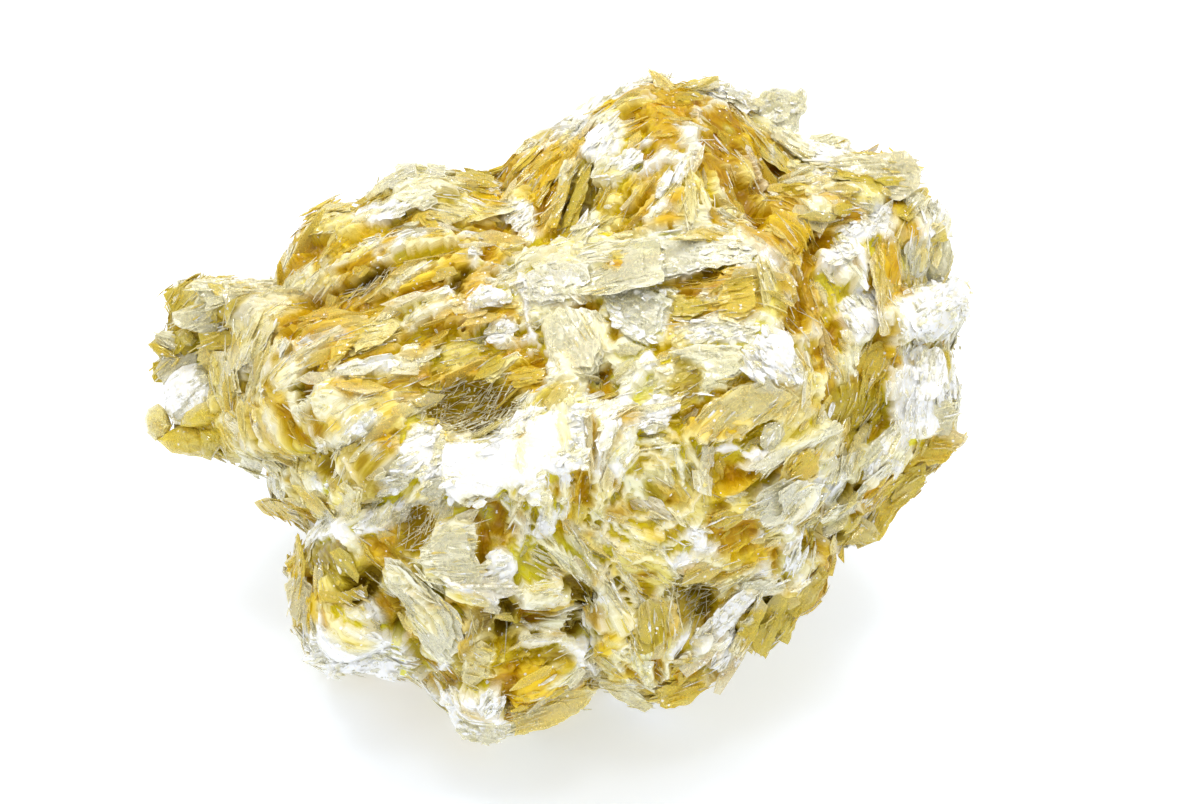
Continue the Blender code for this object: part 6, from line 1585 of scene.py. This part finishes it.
def facets(nt, vec, scale):
    """Height of small flat cells, each leaning its own way."""
    vo = node(nt, "ShaderNodeTexVoronoi")
    vo.inputs["Scale"].default_value = scale
    nt.links.new(vec, vo.inputs["Vector"])
    away = node(nt, "ShaderNodeVectorMath", operation="SUBTRACT")
    nt.links.new(scaled(nt, vec, (scale, scale, scale)), away.inputs[0])
    nt.links.new(scaled(nt, vo.outputs["Position"], (scale, scale, scale)), away.inputs[1])
    lean = node(nt, "ShaderNodeVectorMath", operation="SUBTRACT")
    nt.links.new(vo.outputs["Color"], lean.inputs[0])
    lean.inputs[1].default_value = (0.5, 0.5, 0.5)
    dot = node(nt, "ShaderNodeVectorMath", operation="DOT_PRODUCT")
    nt.links.new(away.outputs[0], dot.inputs[0])
    nt.links.new(lean.outputs[0], dot.inputs[1])
    return dot.outputs["Value"]


def mica_material(name, glow=0.0, coat=0.5, sss=0.0, spread=(1.0, 1.0, 0.92), reach=0.0010, clear=0.0, frost=1.0, rough_=0.65):
    mat = bpy.data.materials.new(name)
    nt = nodes_of(mat)
    tint = node(nt, "ShaderNodeAttribute", attribute_name="tint").outputs["Color"]
    mixa = node(nt, "ShaderNodeAttribute", attribute_name="mixes").outputs["Vector"]
    lay = node(nt, "ShaderNodeAttribute", attribute_name="lay").outputs["Vector"]
    edge = node(nt, "ShaderNodeAttribute", attribute_name="ridge").outputs["Fac"]
    sm = node(nt, "ShaderNodeSeparateXYZ")
    nt.links.new(mixa, sm.inputs[0])
    deep, white, steep = sm.outputs[0], sm.outputs[1], sm.outputs[2]
    obj = node(nt, "ShaderNodeTexCoord").outputs["Object"]

    flat = ramp(nt, steep, 0.2, 0.9, 1.0, 0.15)
    lines = noise_tex(nt, scaled(nt, lay, (0.28, 2.3, 1.7)), 1.0, 3.0, 0.62, 0.4)
    hair = noise_tex(nt, scaled(nt, lay, (0.22, 1.5, 2.3)), 1.0, 2.0, 0.5, 0.6)
    thread = ramp(nt, calc(nt, "ABSOLUTE", calc(nt, "SUBTRACT", hair, 0.5)), 0.075, 0.025)
    cross = node(nt, "ShaderNodeVectorRotate", rotation_type="Z_AXIS")
    nt.links.new(lay, cross.inputs["Vector"])
    cross.inputs["Angle"].default_value = 0.45
    hair2 = noise_tex(nt, scaled(nt, cross.outputs[0], (0.30, 1.1, 1.3)), 1.0, 2.0, 0.5, 0.9)
    thread2 = ramp(nt, calc(nt, "ABSOLUTE", calc(nt, "SUBTRACT", hair2, 0.5)), 0.05, 0.015)
    cloud = noise_tex(nt, obj, 380.0, 4.0, 0.68, 0.6)
    broad = noise_tex(nt, obj, 150.0, 2.0, 0.55, 0.3)
    fleck = noise_tex(nt, obj, 1700.0, 2.0, 0.62)
    # painted glints: tiny white dots in the base colour
    dot_ = node(nt, "ShaderNodeTexVoronoi")
    dot_.inputs["Scale"].default_value = 1500.0
    nt.links.new(obj, dot_.inputs["Vector"])
    pickd = node(nt, "ShaderNodeSeparateXYZ")
    nt.links.new(dot_.outputs["Color"], pickd.inputs[0])
    glint_dots = calc(nt, "LESS_THAN", dot_.outputs["Distance"], ramp(nt, pickd.outputs[0], 0.60, 1.0, 0.0, 0.24))

    grainy = calc(nt, "ADD", calc(nt, "MULTIPLY", calc(nt, "SUBTRACT", cloud, 0.5), 1.5), calc(nt, "MULTIPLY", calc(nt, "SUBTRACT", lines, 0.5), 1.1))
    dark = ramp(nt, lines, 0.50, 0.60, 0.0, 0.35 if clear > 0 else 0.9)
    light = ramp(nt, lines, 0.47, 0.38, 0.0, 0.70 if clear > 0 else 0.20)
    # the white share: pearly sheet, partly painted highlight
    silver = ramp(nt, white, 0.02, 0.30)
    c1 = mix_rgb(nt, dark, tint, (0.86, 0.76, 0.20) if clear > 0 else (0.74, 0.64, 0.08), "MULTIPLY")
    c2 = mix_rgb(nt, light, c1, mix_rgb(nt, silver, (0.90, 0.70, 0.05), (0.95, 0.90, 0.62)))
    c3 = mix_rgb(nt, ramp(nt, broad, 0.50, 0.66, 0.0, 0.55), c2, mix_rgb(nt, 1.0, c2, (0.94, 0.88, 0.20), "MULTIPLY"))
    # painted shade in the crevices: deep amber colour, fewer threads, less white and less coat where the depth mask is
    # high
    amber = mix_rgb(nt, 1.0, c1, (0.84, 0.80, 0.04), "MULTIPLY")
    crevice_shade = ramp(nt, calc(nt, "ADD", deep, calc(nt, "MULTIPLY", grainy, 0.45)), 0.30, 0.62)
    c4 = mix_rgb(nt, crevice_shade, c3, amber)
    many = calc(nt, "MULTIPLY", ramp(nt, broad, 0.40, 0.60, 0.10, 1.0), ramp(nt, crevice_shade, 0.0, 1.0, 1.0, 0.45))
    threads = calc(nt, "MULTIPLY", calc(nt, "MAXIMUM", thread, calc(nt, "MULTIPLY", thread2, 0.8)), calc(nt, "MULTIPLY", calc(nt, "MULTIPLY", many, frost), ramp(nt, silver, 0.0, 1.0, 0.5, 1.0)))
    bright = mix_rgb(nt, silver, (0.92, 0.74, 0.06) if clear == 0 else (0.95, 0.83, 0.24), (0.97, 0.95, 0.80))
    c5 = mix_rgb(nt, calc(nt, "MULTIPLY", threads, 0.80), c4, bright)
    # raised edges brightened toward pale gold or white: painted highlight, partly the pale edges of the sheets
    c6 = mix_rgb(nt, calc(nt, "MULTIPLY", ramp(nt, edge, 0.30, 0.95, 0.0, 0.80 * frost), ramp(nt, silver, 0.0, 1.0, 0.6, 1.0)), c5, bright)
    # white mottles from the white share: pearly sheet, partly painted highlight
    pearl = mix_rgb(nt, ramp(nt, fleck, 0.50, 0.68, 0.0, 0.75), (0.95, 0.95, 0.93), mix_rgb(nt, 0.6, tint, (0.84, 0.76, 0.46)))
    snow = ramp(nt, calc(nt, "ADD", calc(nt, "SUBTRACT", calc(nt, "MULTIPLY", white, 0.76), calc(nt, "MULTIPLY", crevice_shade, 0.2)), calc(nt, "MULTIPLY", grainy, 1.1)), 0.60, 0.70)
    c7 = mix_rgb(nt, snow, c6, pearl)
    if clear > 0:
        body_ = mix_rgb(nt, silver, (0.97, 0.78, 0.10), (1.0, 0.96, 0.70))
        body = mix_rgb(nt, ramp(nt, silver, 0.0, 1.0, 0.22, 0.10), body_, c4)
        veil = calc(nt, "MAXIMUM", calc(nt, "MAXIMUM", threads, ramp(nt, edge, 0.30, 0.95)), calc(nt, "MAXIMUM", snow, glint_dots))
        c7 = mix_rgb(nt, ramp(nt, veil, 0.0, 0.5), body, c7)
    # painted glints: the white dots mixed over the colour
    c8 = mix_rgb(nt, calc(nt, "MULTIPLY", glint_dots, 0.85), c7, (0.98, 0.98, 0.95))

    tilt = facets(nt, obj, 900.0)
    hgt = calc(nt, "ADD", calc(nt, "MULTIPLY", calc(nt, "MULTIPLY", lines, flat), 0.8), calc(nt, "MULTIPLY", tilt, 2.0))
    bump = node(nt, "ShaderNodeBump")
    bump.inputs["Strength"].default_value = rough_
    bump.inputs["Distance"].default_value = 0.00016
    nt.links.new(hgt, bump.inputs["Height"])

    bsdf = node(nt, "ShaderNodeBsdfPrincipled")
    bsdf.inputs["IOR"].default_value = 1.6 if clear == 0 else 1.28
    nt.links.new(calc(nt, "MULTIPLY", calc(nt, "MULTIPLY", ramp(nt, crevice_shade, 0.0, 1.0, 1.0, 0.15), ramp(nt, silver, 0.0, 1.0, 0.55, 1.0)), coat), bsdf.inputs["Coat Weight"])
    bsdf.inputs["Specular IOR Level"].default_value = 0.08
    bsdf.inputs["Coat Roughness"].default_value = 0.03
    bsdf.inputs["Coat IOR"].default_value = 1.5
    bsdf.inputs["Subsurface Weight"].default_value = sss
    if clear > 0:
        nt.links.new(calc(nt, "MULTIPLY", calc(nt, "MULTIPLY", ramp(nt, veil, 0.0, 0.9, 1.0, 0.12), ramp(nt, silver, 0.0, 1.0, 0.80, 1.0)), clear), bsdf.inputs["Transmission Weight"])
    bsdf.inputs["Subsurface Radius"].default_value = spread
    bsdf.inputs["Subsurface Scale"].default_value = reach
    nt.links.new(c8, bsdf.inputs["Base Color"])
    nt.links.new(ramp(nt, fleck, 0.3, 0.7, 0.14, 0.40), bsdf.inputs["Roughness"])
    if clear == 0:
        nt.links.new(bump.outputs[0], bsdf.inputs["Normal"])
    nt.links.new(bump.outputs[0], bsdf.inputs["Coat Normal"])
    out = node(nt, "ShaderNodeOutputMaterial")
    if glow > 0:
        tl = node(nt, "ShaderNodeBsdfTranslucent")
        nt.links.new(mix_rgb(nt, 0.5, c8, (1.0, 0.93, 0.66), "MULTIPLY"), tl.inputs["Color"])
        ms = node(nt, "ShaderNodeMixShader")
        ms.inputs[0].default_value = glow
        nt.links.new(bsdf.outputs[0], ms.inputs[1])
        nt.links.new(tl.outputs[0], ms.inputs[2])
        nt.links.new(ms.outputs[0], out.inputs["Surface"])
    else:
        nt.links.new(bsdf.outputs[0], out.inputs["Surface"])
    return mat


MICA = mica_material("mica_sheets", coat=0.7, clear=0.76, rough_=0.40)
MICA_PLATE = mica_material("mica_plates", coat=0.8, clear=0.66, rough_=0.30)
MICA_BACK = mica_material("mica_sheets_back", coat=0.6, clear=0.28, rough_=0.40)
MICA_CORE = mica_material("mica_massive", coat=0.45, sss=0.12, frost=0.45)


# ---------------------------------------------------------------- pieces
def finish_piece(name, verts, faces, tint, mix, lay, ridge, mat, angle=0.62):
    verts = verts.copy()
    verts[:, 2] = np.maximum(verts[:, 2], 0.02)
    world = (verts + SHIFT) * 0.001
    me = bpy.data.meshes.new(name)
    me.from_pydata(world.tolist(), [], faces)
    me.update()
    # mixes holds the painted crevice shade, the white share (partly painted highlight) and the steepness; the last
    # attribute is the edge brightness, partly painted highlight
    for nm, typ, arr in (("tint", "FLOAT_COLOR", np.concatenate([tint, np.ones((len(tint), 1))], 1)),
                         ("mixes", "FLOAT_VECTOR", mix), ("lay", "FLOAT_VECTOR", lay), ("ridge", "FLOAT", ridge)):
        at = me.attributes.new(nm, typ, "POINT")
        at.data.foreach_set({"FLOAT_COLOR": "color", "FLOAT_VECTOR": "vector", "FLOAT": "value"}[typ], arr.astype(np.float32).ravel())
    me.polygons.foreach_set("use_smooth", np.ones(len(me.polygons), bool))
    me.set_sharp_from_angle(angle=angle)
    me.materials.append(mat)
    ob = bpy.data.objects.new(name, me)
    bpy.context.scene.collection.objects.link(ob)
    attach(ob, "root")
    return ob


def seen_through(v, tint, mix, share):
    """Colour of a see-through sheet: its own mixed with that of the skin right behind each corner."""
    near = np.array([KS.find(q)[1] for q in v.tolist()])
    return tint * (1 - share) + TINT[near] * share, np.concatenate([mix[:, :1], (mix[:, 1] * 0.72 + WHITE_AND_HIGHLIGHT[near] * 0.28)[:, None], mix[:, 2:]], 1)


KS = KDTree(NV)
for i, q in enumerate(SKIN.tolist()):
    KS.insert(q, i)
KS.balance()
pieces = [finish_piece("mica_core", SKIN, [tuple(t) for t in TRI.tolist()], np.clip(TINT, 0, 1) ** (1.0 + 0.32 * np.clip(1 - WHITE_AND_HIGHLIGHT / 0.30, 0, 1))[:, None], np.stack([DEEP_SHADE, WHITE_AND_HIGHLIGHT, STEEP], 1), LAY, EDGE_PALE_AND_HIGHLIGHT, MICA_CORE, 0.35)]
for name, b in bins.items():
    v = np.concatenate(b.v)
    tint_, mix_ = seen_through(v, np.concatenate(b.tint), np.concatenate(b.mix), 0.38)
    pieces.append(finish_piece(name, v, b.f, tint_, mix_, np.concatenate(b.lay), np.concatenate(b.ridge), MICA_PLATE if name in plates else (MICA_BACK if name in ("books_back", "shards_back") else MICA), 0.25 if name in plates else 0.62))
for ob in pieces:
    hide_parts("mica_cluster")
print("triangles", {ob.name: sum(len(p.vertices) - 2 for p in ob.data.polygons) for ob in pieces})

# ---------------------------------------------------------------- floor, light, camera
floor_me = bpy.data.meshes.new("floor")
fb = bmesh.new()
bmesh.ops.create_grid(fb, x_segments=8, y_segments=8, size=2.5)
fb.to_mesh(floor_me)
fb.free()
floor = bpy.data.objects.new("floor", floor_me)
bpy.context.scene.collection.objects.link(floor)
fm = bpy.data.materials.new("white_table")
nt = nodes_of(fm)
fo = node(nt, "ShaderNodeTexCoord").outputs["Object"]
fn = noise_tex(nt, fo, 40.0, 2.0)
fb_ = node(nt, "ShaderNodeBsdfPrincipled")
nt.links.new(mix_rgb(nt, fn, (0.614, 0.668, 0.775), (0.624, 0.678, 0.785)), fb_.inputs["Base Color"])
fb_.inputs["Roughness"].default_value = 0.9
fb_.inputs["Specular IOR Level"].default_value = 0.1
fb_.inputs["Emission Color"].default_value = (1.0, 1.0, 1.0, 1.0)
fb_.inputs["Emission Strength"].default_value = 0.49
nt.links.new(fb_.outputs[0], node(nt, "ShaderNodeOutputMaterial").inputs["Surface"])
floor_me.materials.append(fm)

scene = bpy.context.scene
world = bpy.data.worlds.new("studio")
scene.world = world
world.use_nodes = True
bg = world.node_tree.nodes["Background"]
bg.inputs["Color"].default_value = (1.0, 1.0, 1.0, 1.0)
bg.inputs["Strength"].default_value = 0.82


def softbox(name, pos, aim, size, power, size_y=None):
    li = bpy.data.lights.new(name, "AREA")
    li.shape = "RECTANGLE"
    li.size, li.size_y = size, size_y or size
    li.energy = power
    ob = bpy.data.objects.new(name, li)
    ob.location = pos
    ob.rotation_euler = (Vector(aim) - Vector(pos)).to_track_quat("-Z", "Y").to_euler()
    scene.collection.objects.link(ob)
    return ob


softbox("top_box", (0.0, 0.05, 0.75), (0, 0, 0.0), 0.70, 0.9)
softbox("glint_a", (-0.20, -0.10, 0.60), (0, 0, 0.03), 0.11, 0.60)
softbox("glint_b", (0.22, 0.05, 0.60), (0, 0, 0.03), 0.11, 0.60)
softbox("glint_c", (0.02, -0.30, 0.55), (0, 0, 0.03), 0.11, 0.45)
softbox("glint_d", (-0.05, 0.25, 0.60), (0, 0, 0.03), 0.11, 0.50)

for k, spot in enumerate(((-0.32, 0.12, 0.50), (0.34, -0.15, 0.48), (0.14, -0.36, 0.42), (-0.17, -0.34, 0.38), (0.10, 0.30, 0.58))):
    spark = softbox("spark_%d" % k, spot, (0, 0, 0.03), 0.055, 0.45)
    spark.visible_diffuse = False
    spark.visible_transmission = False

cam_data = bpy.data.cameras.new("camera")
cam_data.lens = 120.0
cam_data.sensor_width = 36.0
cam_data.sensor_fit = "HORIZONTAL"
cam_data.clip_start = 0.01
camera = bpy.data.objects.new("camera", cam_data)
camera.location = Vector((EYE + SHIFT) * 0.001)
camera.rotation_euler = (Vector(-W)).to_track_quat("-Z", "Y").to_euler()
scene.collection.objects.link(camera)
scene.camera = camera
scene.cycles.diffuse_bounces = 3
scene.cycles.transmission_bounces = 12
scene.cycles.max_bounces = 14
scene.view_settings.view_transform = "Standard"
scene.view_settings.look = "None"
scene.view_settings.exposure = 0.0
scene.view_settings.gamma = 1.0
